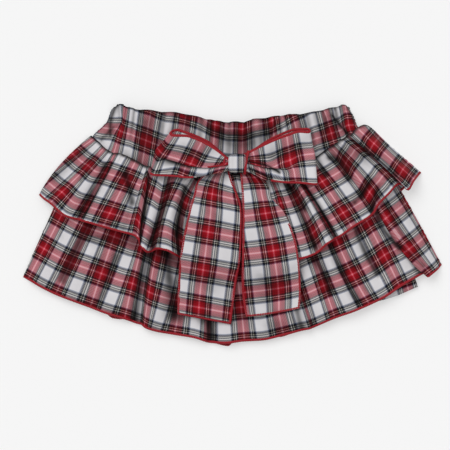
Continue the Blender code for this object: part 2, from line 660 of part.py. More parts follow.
def build_skort():
    remove_objects()
    pile = empty_pile()
    back_columns = np.linspace(BODY_BACK[0].cloth, BODY_BACK[-1].cloth, BACK_COLUMNS + 1)
    front_columns = between([fall.cloth for fall in BODY_FRONT], BODY_COLUMNS)
    back_ruffle(pile, "upper_ruffle_back", UPPER_RUFFLE_BACK, cotton("upper_ruffle_back", TARTAN_RED))
    back_ruffle(pile, "lower_ruffle_back", LOWER_RUFFLE_BACK, cotton("lower_ruffle_back", TARTAN_GREY))
    back_cotton = cotton("body_back", TARTAN_PALE)
    waist_panel(pile, "body_back", BODY_BACK, back_columns, BACK_ROWS, back_cotton, BACK_TENT)
    shorts_panel(pile, "shorts_back", cotton("shorts_back", TARTAN_GREY))
    shorts_panel(pile, "shorts_front", cotton("shorts_front", TARTAN_GREY))
    front_cotton = cotton("body_front", TARTAN_PALE)
    waist_panel(pile, "body_front", BODY_FRONT, front_columns, BODY_ROWS, front_cotton, FRONT_TENT)
    ruffle(pile, "lower_ruffle_front", LOWER_RUFFLE, LOWER_ROWS, cotton("lower_ruffle_front", TARTAN_GREY))
    ruffle(pile, "upper_ruffle_front", UPPER_RUFFLE, UPPER_ROWS, cotton("upper_ruffle_front", TARTAN_RED))
    tail(pile, "bow_tail_left", LEFT_TAIL, cotton("bow_tail_left", TARTAN_PALE))
    tail(pile, "bow_tail_right", RIGHT_TAIL, cotton("bow_tail_right", TARTAN_PALE))
    knot(pile, cotton("bow_knot", TARTAN_PALE))
    loop(pile, "bow_loop_left", LEFT_LOOP, cotton("bow_loop_left", TARTAN_RED))
    loop(pile, "bow_loop_right", RIGHT_LOOP, cotton("bow_loop_right", TARTAN_RED))


build_skort()
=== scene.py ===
"""Looks of the toddler's tartan skort, laid flat with its front up.

Every panel is a thin shell on its solid's form. The tables give places on the floor
and heights above the cloth below, in millimetres. Their "cloth" columns give places
along the cut piece, in repeats of the tartan: its white stripes are centred on whole
numbers. "Row" columns do the same from the hem up.
"""

from collections import namedtuple

import bpy
import numpy as np
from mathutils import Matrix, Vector


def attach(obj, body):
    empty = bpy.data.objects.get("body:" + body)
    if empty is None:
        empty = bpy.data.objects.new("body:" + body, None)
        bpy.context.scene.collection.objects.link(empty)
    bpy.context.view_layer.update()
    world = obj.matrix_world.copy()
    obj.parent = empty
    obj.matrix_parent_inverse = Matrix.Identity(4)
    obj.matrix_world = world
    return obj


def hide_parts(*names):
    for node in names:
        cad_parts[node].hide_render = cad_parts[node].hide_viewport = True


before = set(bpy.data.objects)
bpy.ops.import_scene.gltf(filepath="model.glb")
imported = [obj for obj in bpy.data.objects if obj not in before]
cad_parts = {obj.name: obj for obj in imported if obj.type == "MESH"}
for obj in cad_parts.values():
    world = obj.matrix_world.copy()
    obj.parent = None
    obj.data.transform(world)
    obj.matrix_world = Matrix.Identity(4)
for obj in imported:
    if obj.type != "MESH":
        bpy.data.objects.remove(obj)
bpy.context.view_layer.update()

MM = 0.001
WALL = 1.1
ELASTIC_WALL = 2.4
CASING_SHARE = 0.14
SHELL = 0.7
LAYER_GAP = 0.4
REPEAT = 34.2

# Height map of the pile, in millimetres. A sheet spans the hollows below it by its tent's cells.
MAP_CELL = 1.0
MAP_HALF_WIDTH = 220.0
MAP_HALF_HEIGHT = 140.0
MAP_BORDER = 1.001
CELL_CORNERS = ((0, 0), (1, 0), (0, 1), (1, 1))
FRONT_TENT = 7
BACK_TENT = 4
SMOOTH_ROUNDS = 3
SETTLE_ROUNDS = 6
SETTLE_SPREAD = 2
SIDE_REACH = 5.0
TINY = 1e-9

# Gathers and small relief, and the shade painted into the colour between the waist's puckers and along
# its top edge.
SEAM_LIFT_SHARE = 0.35
WAIST_GATHERS = 13
WAIST_GATHER_HEIGHT = 1.3
WAIST_GATHER_FALL = 0.45
WAIST_PUCKERS = 31
WAIST_PUCKER_HEIGHT = 1.2
WAIST_PUCKER_SHADE = 0.24
WAIST_EDGE_SHADE = 0.45
WAIST_EDGE_WIDTH = 1.3
WAIST_RIPPLE = 0.9
WAIST_RIPPLE_FALL = 4
BACK_GATHERS = 11
BACK_GATHER_HEIGHT = 1.8
BACK_GATHER_SEAM_SHARE = 0.4
GATHERS_PER_REPEAT = 1.9
GATHER_SHARPNESS = 1.5
GATHER_HEIGHT = 2.2
GATHER_FALL = 0.6

# Uneven places, heights and lengths of the gathers along a seam.
Swing = namedtuple("Swing", "size rate start")
GATHER_DRIFT = Swing(0.55, 1.9, 0.6)
WAIST_PUCKER_DRIFT = Swing(2.5, 9.0, 0.0)
GATHER_HEIGHTS = Swing(0.35, 4.3, 1.0)
GATHER_LENGTHS = Swing(0.25, 3.1, 0.0)

# Where the waist's two ends bend in or out: their side, how far and how high up.
SideBend = namedtuple("SideBend", "side depth y")
SIDE_BENDS = (SideBend(0, 4.5, 92.5), SideBend(-1, 2.5, 98.0))
SIDE_BEND_REACH = 8.0
SIDE_BEND_FADE = 0.5

# The faint rumple: waves across and up the cloth, and a slanting small one, bent by each other.
Wave = namedtuple("Wave", "rate bend bend_rate")
RUMPLE_ACROSS = Wave(0.131, 1.7, 0.053)
RUMPLE_UP = Wave(0.117, 1.3, 0.047)
RUMPLE_SMALL = Wave(0.31, 2.0, 0.11)
RUMPLE_SMALL_SLANT = 0.23
RUMPLE_SMALL_SHARE = 0.4
RUMPLE_HEIGHT = 0.3

# Folds, seams, and the shade painted into the cloth's colour along seams and in hollows.
FOLD_SCALE = 1.6
SEAM_TUCK = 1.9
SEAM_TUCK_WIDTH = 1.7
SEAM_SHADE = 0.7
HOLLOW_REACH = 5
HOLLOW_DEPTH = 2.0
HOLLOW_SHADE = 0.66
HOLLOW_MARGIN = 20


def rows(kind, *places):
    """A table with the named columns of its kind."""
    return tuple(kind(*place) for place in places)


# Sections from the seam down to the hem. One lift is for the middle and the hem, and a
# section without lifts lies flat on the cloth below.
FALL_COLUMNS = "cloth top_x top_y mid_x mid_y hem_x hem_y mid_lift hem_lift"
Fall = namedtuple("Fall", FALL_COLUMNS, defaults=(0, None))

UPPER_RUFFLE = rows(
    Fall,
    (-2.05, -127, 80, -155, 54, -174, 27),
    (-1.9, -120, 74, -146, 49, -171, 24, 2, 1.5),
    (-1.5, -115, 69, -140, 42, -164, 19, 3.5, 3),
    (-1, -109, 65, -130, 36, -149, 7, 3),
    (-0.6, -106, 64, -122, 33, -138, 4, 0.5),
    (-0.3, -103, 64, -119, 33, -135, 3, 1, 1.5),
    (0, -99, 63, -116, 32, -131, 2, 5, 5.5),
    (0.5, -88, 58, -104, 25, -117, -2, 4.5),
    (1, -79, 53, -90, 21, -99, -7, 4),
    (1.4, -76, 52, -84, 18, -88, -10, 5, 5.5),
    (1.55, -74, 52, -82, 15, -84, -14, 5, 5.5),
    (1.7, -72, 51, -80, 14, -83, -18, 2.2, 1.6),
    (2, -65, 49, -73, 10, -80, -22, 4.5, 5),
    (2.3, -60, 48, -67, 9, -76, -25, 3),
    (2.5, -56, 48, -64, 9, -72, -24),
    (2.75, -49, 47, -61, 9, -67, -22, 3),
    (3, -38, 47, -56, 10, -60, -23, 5.5),
    (3.3, -33, 46, -50, 9, -52, -27, 3.5),
    (3.5, -30, 46, -46, 7, -47, -30),
    (4, -26, 45, -38, 8, -40, -33, 4),
    (4.5, -22, 45, -30, 7, -31, -32, 0.5),
    (5, -16, 45, -20, 5, -22, -34, 4),
    (5.5, -10, 45, -11, 5, -12, -33, 0.5),
    (6, -4, 45, -1, 4, -1, -36, 4),
    (6.5, 3, 45, 9, 4, 10, -34, 0.5),
    (7, 11, 45, 19, 4, 21, -36, 4),
    (7.5, 20, 45, 30, 5, 34, -34, 0.5),
    (8, 29, 45, 40, 6, 45, -35, 4),
    (8.5, 34, 46, 47, 7, 55, -32, 2.4),
    (9, 38, 47, 55, 5, 65, -30, 4.5),
    (9.5, 47, 48, 64, 11, 77, -25, 2, 2.5),
    (10, 51, 49, 71, 15, 86, -17, 4.5),
    (10.5, 55, 49, 76, 14, 93, -13),
    (11, 60, 51, 80, 20, 98, -10, 4, 3.5),
    (11.5, 69, 57, 90, 27, 109, -2, 4, 3.5),
    (12, 79, 63, 101, 36, 122, 6, 4.5, 4),
    (12.3, 85, 68, 109, 37, 127, 10, 1.5, 1),
    (12.5, 89, 70, 115, 40, 131, 17, 1),
    (13, 95, 74, 122, 49, 140, 27, 4, 3.5),
    (13.4, 101, 78, 129, 55, 150, 36, 1.2, 1),
    (13.6, 104, 81, 135, 57, 154.6, 33.8, 0.8),
    (14, 106, 80, 132, 56, 158, 31, 5),
    (14.5, 111.5, 86, 139, 61, 164, 40, 5.5, 5),
    (14.72, 119, 89.5, 142.6, 65, 167.4, 44, 3),
    (14.9, 125.5, 87.2, 145.2, 68.3, 170, 47),
)

LOWER_RUFFLE = rows(
    Fall,
    (-0.75, -146, 47, -169, -3, -188.4, -47),
    (-0.5, -138, 42, -160, -4, -183, -50, 1),
    (0, -126, 37, -149, -9, -173, -56, 2),
    (0.5, -113, 31, -135, -14, -159, -63, 1),
    (1, -104, 29, -124, -17, -146, -68, 2.5, 2),
    (1.5, -91, 27, -108, -18, -127, -75, 1),
    (2, -77, 26, -92, -25, -114, -80, 2),
    (2.5, -69, 25, -84, -29, -97, -85, 3.5, 3),
    (2.9, -65, 24, -78, -34, -86, -89),
    (3.2, -62, 24, -75, -35, -82, -90),
    (3.5, -58, 23, -69, -34, -78, -93, 3),
    (4, -49, 22, -53, -36, -69, -96, 4, 3),
    (4.5, -42, 21, -43, -37, -52, -99, 2),
    (5, -33, 20, -31, -39, -34, -102, 3),
    (5.4, -26, 19, -24, -41, -25, -105, 3.5),
    (5.6, -23, 19, -21, -41, -22, -106, 0.5),
    (6, -16, 18, -11, -42, -7, -107, 3, 2.5),
    (6.5, -6, 18, 3, -42, 10, -105, 1.5),
    (7, 7, 18, 17, -41, 27, -104, 3, 2.5),
    (7.5, 20, 18, 32, -39, 45, -100, 2),
    (8, 30, 19, 46, -36, 64, -95, 3.5, 3),
    (8.2, 34, 20, 50, -34, 69, -94, 3.5),
    (8.6, 37, 20, 53, -33, 72, -93, 0.5),
    (9, 43, 21, 63, -32, 81, -89, 3, 2.5),
    (9.5, 56, 25, 74, -30, 93, -84, 1.5),
    (10, 65, 28, 86, -28, 110, -78, 3, 2.5),
    (10.5, 80, 32, 100, -23, 126, -71, 1.5),
    (11, 92, 36, 113, -14, 138, -65, 3, 2.5),
    (11.5, 102, 40, 128, -8, 151, -56, 2.5, 2),
    (12, 109, 43, 142, -8, 163, -49, 1.5),
    (12.2, 113, 44, 147, -9, 173, -44, 0.5),
    (12.35, 116, 45, 145, -13, 176, -47, 3.5, 4.5),
    (12.5, 120, 45, 147, -3, 179, -45, 4.5),
    (13, 129, 47, 158, 2, 185, -40, 3.5, 3),
    (13.4, 140, 51, 164, 9, 188.4, -36),
)

BODY_FRONT = rows(
    Fall,
    (-0.25, -107, 106, -123.5, 83, -142, 49),
    (0, -101, 108.5, -110, 77, -130, 38),
    (0.5, -95, 106.5, -103, 72, -115, 33),
    (1, -88, 104.5, -93, 68, -101, 29),
    (1.5, -74, 103, -80, 63, -86, 26),
    (2, -58, 101.5, -65, 58, -69, 23),
    (2.5, -43, 100, -49, 55, -52, 21),
    (3, -27, 96, -32, 53, -34, 19),
    (3.5, -15, 93.5, -18, 52, -19, 18),
    (4, -3, 92.5, -5, 51, -6, 18),
    (4.5, 8, 92.5, 8, 51, 8, 18),
    (5, 20, 95, 22, 52, 23, 18),
    (5.5, 34, 97, 38, 54, 39, 19),
    (6, 44, 98.5, 50, 56, 54, 22),
    (6.5, 55, 99.5, 64, 60, 68, 26),
    (7, 70, 101, 78, 65, 85, 31),
    (7.5, 83, 104, 92, 72, 102, 36),
    (8, 92, 106, 100, 78, 115, 41),
    (8.5, 100, 108, 105, 84, 126, 45),
    (8.8, 104, 106, 112, 88, 138, 52),
)

BODY_BACK = rows(
    Fall,
    (-0.5, -105, 105, -119, 83, -139, 49),
    (0.5, -88, 103, -98, 70, -116, 35),
    (2, -55, 100, -62, 58, -72, 24),
    (3.5, -22, 95, -26, 53, -30, 20),
    (4.5, 4, 91.5, 4, 51, 4, 19),
    (5.5, 32, 95, 37, 54, 40, 20),
    (7, 66, 99.5, 74, 63, 84, 31),
    (8.5, 92, 104, 100, 77, 116, 41),
    (9.3, 100.5, 103, 109, 87, 135, 52),
)

UPPER_RUFFLE_BACK = rows(
    Fall,
    (-2, -125, 78, -153, 53, -172, 27),
    (0.5, -95, 62, -118, 30, -138, 4),
    (2.5, -60, 50, -74, 14, -84, -14),
    (4.5, -28, 46, -34, 6, -38, -28),
    (6.5, 4, 45, 6, 4, 8, -32),
    (8.5, 36, 47, 48, 8, 57, -27),
    (10.5, 66, 54, 86, 22, 101, -6),
    (13, 95, 72, 124, 43, 143, 22),
    (15, 117, 88, 142, 65, 168, 46),
)

LOWER_RUFFLE_BACK = rows(
    Fall,
    (-1, -143, 48, -166, -2, -185, -45),
    (1, -113, 33, -132, -16, -154, -62),
    (2.4, -84, 27, -98, -26, -116, -77),
    (2.6, -79, 26, -92, -28, -108, -84),
    (2.8, -74, 26, -86, -30, -100, -85),
    (3, -70, 25, -82, -32, -94, -84),
    (5, -34, 21, -35, -40, -36, -99),
    (5.6, -18, 19, -14, -42, -16, -106.5),
    (6, -10, 18, -5, -42, -3.5, -109.2),
    (6.2, -4, 18, 0, -42, 2, -104),
    (7, 16, 18, 28, -40, 37, -99),
    (7.4, 24, 19, 36, -38, 43, -101),
    (7.8, 30, 19, 42, -37, 54, -97.5),
    (9, 46, 22, 64, -32, 78, -86),
    (11, 84, 34, 104, -20, 126, -67),
    (12.6, 112, 44, 139, -7, 161, -46),
    (13.6, 137, 52, 161, 9, 185, -35),
)

SHORTS = rows(
    Fall,
    (0, -99, 98, -121, 31, -153, -54),
    (0.8, -83, 94, -99, 27, -124, -65, 0.4),
    (2, -56, 90, -65, 18, -74, -70),
    (3.2, -25, 85, -29, 9, -18, -68, 0.4),
    (3.9, -7, 83, -8, 17, -2, -53),
    (4.2, 0, 83, 0, 22, 3, -48),
    (4.5, 7, 83, 7, 17, 10, -53),
    (5.2, 27, 85, 32, 9, 27, -72, 0.4),
    (6.4, 61, 90, 74, 18, 83, -80),
    (7.4, 88, 96, 101, 22, 119, -72, 0.4),
    (8, 97, 98, 122, 27, 144, -65.5),
    (8.8, 102, 99, 136, 31, 167, -56),
)

# How far below the waist edge the first white stripe's middle lies, in repeats.
WaistRow = namedtuple("WaistRow", "cloth drop")
WAIST_ROWS = rows(
    WaistRow,
    (-0.25, 0.2),
    (1, 0.2),
    (1.5, 0.3),
    (2, 0.42),
    (3, 0.44),
    (3.5, 0.5),
    (4, 0.55),
    (4.5, 0.55),
    (5.5, 0.5),
    (6, 0.45),
    (6.5, 0.35),
    (7, 0.22),
    (8, 0.17),
    (8.8, 0.05),
)
# The tartan's row at each ruffle's hem, in repeats.
UPPER_HEM_ROW = 0.0
LOWER_HEM_ROW = -0.447

# How far the tartan slips, in repeats, where the cloth bends or is drawn up at its seam.
Slip = namedtuple("Slip", "cloth seam_across seam_up hem_across hem_up")
SLIPS = {}
SLIPS["upper_ruffle_front"] = rows(
    Slip,
    (-2.05, -0.75, 0.11, -0.05, 0.1),
    (-1.9, -0.15, 0.11, -0.03, 0.08),
    (-1.5, -0.02, 0.1, 0, 0.05),
    (-0.5, 0.03, 0.08, 0.05, 0.09),
    (0.5, -0.06, 0.13, -0.03, 0.08),
    (1.2, -0.14, 0.25, 0, 0.06),
    (1.5, -0.18, 0.03, 0, 0.04),
    (2.5, -0.12, 0.02, 0, 0.03),
    (3.5, -0.05, 0.04, -0.09, 0),
    (5, 0, 0, 0, 0),
    (6.6, 0.42, 0, 0, 0),
    (8, 0, -0.05, 0, -0.03),
    (9.5, 0.02, -0.03, -0.07, -0.02),
    (10.5, 0.06, 0, -0.05, -0.03),
    (11.5, 0.05, 0.07, 0.06, 0.03),
    (12.5, 0.02, 0.11, 0, 0.06),
    (13.6, -0.15, 0.05, -0.04, 0.05),
    (14, 0.14, 0.05, 0.14, 0.06),
    (14.5, -0.03, 0.05, 0, 0.08),
)
SLIPS["lower_ruffle_front"] = rows(
    Slip,
    (-0.5, -0.05, 0, 0.04, 0.05),
    (0.5, 0.03, -0.02, 0, 0.03),
    (1.5, 0.02, -0.05, 0.03, 0.02),
    (2.5, -0.03, -0.05, 0, 0),
    (3.5, 0, 0.01, 0.07, 0.01),
    (4.5, 0, 0.03, 0, 0.05),
    (6.5, -0.05, 0.03, -0.03, 0.05),
    (8.5, 0, 0.02, -0.03, 0.06),
    (9.5, 0.01, 0.01, 0.02, 0.05),
    (10.5, 0.07, -0.02, 0.09, 0.04),
    (11.5, 0.08, -0.02, 0.01, 0.02),
    (12.5, 0.1, 0.02, 0, 0.06),
    (13.4, -0.03, 0.06, 0.04, 0.08),
)
SLIPS["body_front"] = rows(
    Slip,
    (0.3, 0.07, 0, 0.08, 0.06),
    (1.5, -0.02, -0.01, 0, 0.01),
    (2.5, -0.04, -0.03, -0.04, -0.03),
    (3.5, 0, -0.11, 0, -0.11),
    (4.5, -0.04, -0.14, -0.04, -0.14),
    (5.5, -0.08, -0.12, -0.08, -0.12),
    (6.5, 0.04, -0.02, 0.02, 0.03),
    (7.5, 0, 0.03, 0.01, 0.03),
    (8.5, -0.06, 0.03, -0.04, 0.03),
)

Band = namedtuple(
    "Band",
    "left_x left_y mid_x mid_y right_x right_y left_lift mid_lift right_lift left_cloth right_cloth",
)

LEFT_TAIL = rows(
    Band,
    (-14, 50, -9, 50, -3, 50, 1, 2.2, 1, -0.14, 1.08),
    (-30, 40, -16, 40, -0.5, 39, 0.4, 1.8, 0.6, -0.19, 1.14),
    (-34.3, 26, -16, 25, 4, 28, 0.2, 1.4, 0.5, -0.11, 1.28),
    (-38.2, 13, -16, 9.5, 8, 14, 0.2, 1, 0.6, -0.11, 1.33),
    (-43.8, -13, -19, -16.5, 8, -14, 0.2, 0.8, 0.6, -0.15, 1.38),
    (-46.8, -34, -21.2, -37.5, 6.5, -34, 0.2, 0.6, 0.6, -0.135, 1.39),
    (-48.3, -55, -23.2, -58, 3, -55, 0.2, 0.6, 0.4, -0.1, 1.42),
    (-49, -80.5, -24.5, -85, -1.5, -89.5, 0.2, 0.4, 0.2, -0.05, 1.42),
)
LEFT_TAIL_END_ROW = 0.22

RIGHT_TAIL = rows(
    Band,
    (7, 50, 13, 50, 20, 50, 1, 2.2, 1, -0.05, 1.05),
    (8, 38.5, 19, 38.5, 31, 37, 0.6, 1.8, 0.4, -0.1, 0.8),
    (9, 26, 22.5, 25, 35.5, 23, 0.6, 1.4, 0.2, -0.12, 0.82),
    (9.5, 11, 28, 9.5, 46, 11, 0.6, 1, 0.2, -0.16, 1.04),
    (9.4, -10, 32, -11, 55, -10, 0.6, 0.8, 0.2, -0.24, 1.09),
    (9, -34, 34, -34, 59, -30, 0.6, 0.6, 0.2, -0.37, 1.11),
    (9, -59, 35, -57, 61, -55, 0.4, 0.6, 0.2, -0.43, 1.07),
    (12.5, -82.5, 35, -80, 60, -75, 0.2, 0.4, 0.2, -0.46, 1.04),
)
RIGHT_TAIL_END_ROW = -0.14
# Grid rows from the knot where a tail's right edge is folded under, so no stitches show.
FOLDED_ROWS = {"bow_tail_right": 54}
# Pleats where the knot draws a tail together; they die out over so many bands.
TAIL_PLEATS = 3.0
TAIL_PLEAT_START = 0.1
TAIL_PLEAT_HEIGHT = 1.4
TAIL_PLEAT_BANDS = 2.4
TAIL_PLEAT_FADE = 1.5

Loop = namedtuple(
    "Loop",
    "top_x top_y fold_x fold_y low_x low_y top_lift fold_lift low_lift tuck "
    "top_cloth low_cloth fold_row tuck_row low_row",
)

LEFT_LOOP = rows(
    Loop,
    (-1.5, 57.5, -1.5, 52.5, -1.5, 48, 0.2, 0.2, 0.2, 0, -2.4, -2.3, 0.62, 1, 1.37),
    (-24, 76, -25, 60, -26, 45, 0.2, 0.2, 0.2, 0, -1.6, -1.5, 0.62, 1, 1.37),
    (-41, 83, -45, 62, -45, 44, 0.2, 0.2, 0.2, 0, -1, -0.9, 0.62, 1, 1.37),
    (-50, 85.5, -61, 65, -65, 44, 0.8, 0.8, 0.8, 0, -0.66, -0.48, 0.62, 1, 1.37),
    (-55, 83, -69, 66, -73.5, 45, 3.4, 3.4, 3.4, 0, -0.49, -0.36, 0.62, 1, 1.37),
    (-53, 80.5, -65, 61, -69, 43.5, 5.6, 6.4, 5.4, 0.5, -0.39, -0.26, 0.62, 0.76, 1.37),
    (-42, 80.2, -51, 56.5, -54, 43, 6.4, 7.6, 5.4, 1, -0.03, 0.2, 0.62, 0.86, 1.37),
    (-31, 77, -38, 52.5, -40, 41.5, 6.4, 7.6, 5.4, 1, 0.36, 0.67, 0.6, 0.9, 1.3),
    (-18, 70.2, -24, 51, -25, 43.5, 6, 7, 5, 1, 0.8, 1.1, 0.52, 0.94, 1.2),
    (-1.5, 57.5, -1.5, 54, -1.5, 48, 5, 5.6, 4.6, 0.2, 1.5, 1.9, 0.6, 1, 1.37),
)

RIGHT_LOOP = rows(
    Loop,
    (10.5, 61, 10.5, 56, 10.5, 48, 0.2, 0.2, 0.2, 0, 2.4, 2.3, 0.6, 1, 1.35),
    (36, 78, 36, 58, 37, 40, 0.2, 0.2, 0.2, 0, 1.3, 1.25, 0.6, 1, 1.35),
    (57, 86, 59, 62, 60, 38, 0.2, 0.2, 0.2, 0, 0.6, 0.6, 0.6, 1, 1.35),
    (67, 86.3, 70, 62, 72, 37, 0.8, 0.8, 0.8, 0, 0.3, 0.28, 0.6, 1, 1.35),
    (69.5, 85, 74, 60.5, 75.8, 35.5, 3.4, 3.4, 3.4, 0, 0.15, 0.11, 0.6, 0.95, 1.35),
    (67.5, 83.5, 72, 60.5, 73, 35.4, 5.6, 6, 5.4, 0, 0.09, 0.02, 0.58, 0.95, 1.35),
    (60, 84, 61, 59, 61, 36.6, 6.6, 7, 6, 0, -0.14, -0.37, 0.58, 0.95, 1.35),
    (48, 80.4, 47, 50, 46.5, 37.2, 6.4, 7.4, 5.4, 0.4, -0.52, -0.84, 0.7, 0.98, 1.28),
    (32, 74, 31, 51, 33, 39, 6, 7.2, 5, 1, -1.03, -1.28, 0.52, 0.92, 1.28),
    (10.5, 63, 10.5, 56, 10.5, 48.5, 5, 5.6, 4.6, 0.2, -1.75, -2, 0.55, 0.95, 1.35),
)
LOOP_TOP_ROW = -0.14
TUCK_REACH = 0.16
TUCK_DROP = 2.2
LOOP_RUMPLE_SHARE = 0.5

# Soft creases, listed: a valley from one end through its middle to the other end.
Crease = namedtuple("Crease", "from_x from_y mid_x mid_y to_x to_y half_width depth shade")

CREASES = {}
CREASES["upper_ruffle_front"] = rows(
    Crease,
    (-113, 52, -122, 32, -134, 12, 4.5, 3, 0.32),
    (-133, 66, -148, 55, -160, 42, 7, 1.5, 0.22),
    (-121, 61, -128, 54, -136, 40, 3.5, 1.5, 0.18),
    (-96, 44, -92, 31, -90, 20, 5, 2.5, 0.28),
    (-76, 46, -77, 24, -80, 4, 2.2, 2, 0.14),
    (-57, 33, -64, 10, -74, -16, 3.2, 4, 0.36),
    (-43, 34, -47, 14, -50, -10, 3.6, 3, 0.36),
    (48, 34, 60, 12, 74, -20, 3.4, 2, 0.14),
    (66, 33, 79, 14, 93, -12, 1.9, 3, 0.62),
    (50, 36, 58, 26, 65, 14, 3.4, 1.5, 0.42),
    (76, 62, 80, 52, 84, 44, 3.6, 2, 0.24),
    (88, 60, 98, 56, 104, 42, 5, 2.5, 0.36),
    (124, 40, 118, 30, 110, 20, 4, 2, 0.28),
    (102, 80, 124, 64, 148, 42, 2.6, 3, 0.46),
    (92, 66, 104, 66, 118, 58, 9, 0.8, 0.16),
    (131, 34, 128, 24, 125, 12, 3.6, 2, 0.22),
    (2, 48, 4, 36, 7, 22, 4, -3, -0.15),
)
CREASES["lower_ruffle_front"] = rows(
    Crease,
    (-129, 0, -141, -24, -153, -50, 4.2, 3, 0.38),
    (-74, -22, -82, -58, -87, -88, 4.4, 4, 0.4),
    (-58, -26, -56, -50, -53, -80, 8, 3, 0.45),
    (-104, -28, -112, -50, -120, -70, 4, 1.5, 0.14),
    (-77, -28, -62, -28, -49, -35, 5, 0.2, 0.36),
    (-126, -12, -108, -13, -88, -18, 6, 0.5, 0.24),
    (88, -18, 99, -44, 113, -70, 4.2, 3, 0.2),
    (72, -28, 82, -44, 88, -60, 4.5, 2.5, 0.2),
    (110, -2, 118, -22, 130, -44, 3.8, 2.5, 0.26),
    (130, 10, 137, -6, 150, -20, 3.4, 3, 0.34),
    (138, 18, 146, 2, 153, -10, 3.6, 1.5, 0.24),
    (150, -20, 162, -28, 172, -38, 2.6, 2, 0.28),
    (-24, -86, -21, -95, -20, -103, 5, 2, 0.3),
    (58, -76, 60, -84, 63, -94, 5, 2, 0.26),
)
CREASES["bow_loop_left"] = rows(Crease, (-62, 60, -50, 55, -38, 52, 2.4, 0.6, 0.3))
CREASES["bow_loop_right"] = rows(
    Crease,
    (14, 56, 30, 52.7, 42, 46.5, 1.5, 1, 0.62),
    (14, 51, 25, 46, 36, 39, 1.3, 0.8, 0.55),
)
CREASES["body_front"] = rows(
    Crease,
    (-20, 86, 4, 80, 30, 82, 7, 0.5, 0.3),
    (-78, 92, -80, 74, -84, 54, 6, 1.2, 0.24),
    (-103, 107, -108.5, 96, -109.6, 80, 2.4, 1, 0.5),
    (-108, 106, -113.5, 97, -117, 90, 4, 0.2, 0.24),
    (-107, 87, -112, 82, -118, 76, 2.2, 0.8, 0.38),
    (-62, 96, -66, 80, -68, 60, 4.5, 1, 0.12),
    (90, 98, 98, 88, 108, 77, 2.2, 1.4, 0.6),
    (92, 103, 94, 94, 92, 80, 4, 1, 0.22),
    (-8, 76, 4, 72, 18, 74, 8, 0.4, 0.26),
    (84, 96, 84, 84, 80, 60, 3.6, 1, 0.2),
    (62, 98, 66, 88, 70, 76, 3.2, 0.8, 0.14),
    (29, 95, 30, 89, 31, 80, 1.8, 0.8, 0.34),
    (38.5, 96, 37, 89, 36, 81, 1.6, 0.8, 0.36),
    (-96, 62, -84, 56, -74, 52, 4, 0.6, 0.16),
)

# The shade painted along a crease is darkest in a narrow core.
CREASE_CORE_SHARE = 0.38
CREASE_SOFT_SHADE = 0.6
CREASE_CORE_SHADE = 0.55
CREASE_STEPS = 9

# The knot of the bow.
KNOT_CENTRE = (4.4, 54.6)
KNOT_HALF = (8.0, 8.6)
KNOT_HEIGHT = 9.6
KNOT_SEAT_MARGIN = 4.5
KNOT_SEAT_SAMPLES = 6
KNOT_WHITE = (-1.2, 55.4)
KNOT_GRID = 44
KNOT_SQUARENESS = 4
KNOT_PLEATS = 3
KNOT_PLEAT_HEIGHT = 0.45
KNOT_PLEAT_START = 0.5

# Fine grids: columns along the cut, rows from seam to hem.
RUFFLE_GRID = (480, 54)
LOWER_GRID = (470, 66)
BODY_GRID = (360, 66)
BACK_GRID = (280, 44)
SHORTS_GRID = (180, 60)
TAIL_GRID = (52, 110)
LOOP_GRID = (48, 150)

# Overlocked edges.
OVERLOCK_STEP = 0.42
OVERLOCK_HALF_WIDTH = 1.2
OVERLOCK_HALF_HEIGHT = 0.72
OVERLOCK_INSET = 0.75
OVERLOCK_STITCH = 1.5
OVERLOCK_RELIEF = 0.13
OVERLOCK_SIDES = 8
OVERLOCK_FEWEST = 4
HEM_RISE = 0.2
BOW_OVERLOCK_HALF_WIDTH = 1.35
LOOP_EDGE_ROWS = 3
LOW_OVERLOCK_HALF_WIDTH = 1.05
LOW_OVERLOCK_END_X = 33.0
TURNED_EDGE_X = -4.6
TURNED_EDGE_COLUMNS = 12
TURNED_EDGE_RISE = 0.5
TURNED_EDGE_HALF_WIDTH = 0.8
KNOT_EDGE = ((15.2, 66.0), (13.6, 60.0), (12.6, 54.0), (11.8, 45.0))
KNOT_EDGE_STEPS = 24
KNOT_EDGE_TURN = (2.0, 0.0, 0.6)

# Light and camera.
VIEW_CENTRE = (-0.00657, -0.00045)
VIEW_WIDTH = 0.405
LENS = 300.0
SENSOR = 36.0
CAMERA_RISE = 0.006
CAMERA_CLIP_END = 20.0
FLOOR_SIZE = 6.0
WORLD_LIGHT = 0.445
Sun = namedtuple("Sun", "name direction spread strength")
SUNS = (
    Sun("key", (-0.55, 0.75, 1.3), 44.0, 1.64),
    Sun("fill", (0.8, -0.2, 1.6), 60.0, 0.46),
)


def rounded(knots, values):
    """Slopes that round a curve at every knot."""
    return np.gradient(values, knots, axis=0, edge_order=min(2, len(knots) - 1))


def without_overshoot(knots, values):
    """Slopes that keep a curve level at each crest and valley."""
    steps = np.diff(knots)[:, None]
    rates = np.diff(values, axis=0) / steps
    before, after = rates[:-1], rates[1:]
    same_way = before * after > 0
    weight_after = 2 * steps[1:] + steps[:-1]
    weight_before = steps[1:] + 2 * steps[:-1]
    before, after = np.where(same_way, before, 1.0), np.where(same_way, after, 1.0)
    mean = (weight_after + weight_before) / (weight_after / before + weight_before / after)
    return np.vstack([rates[:1], np.where(same_way, mean, 0.0), rates[-1:]])


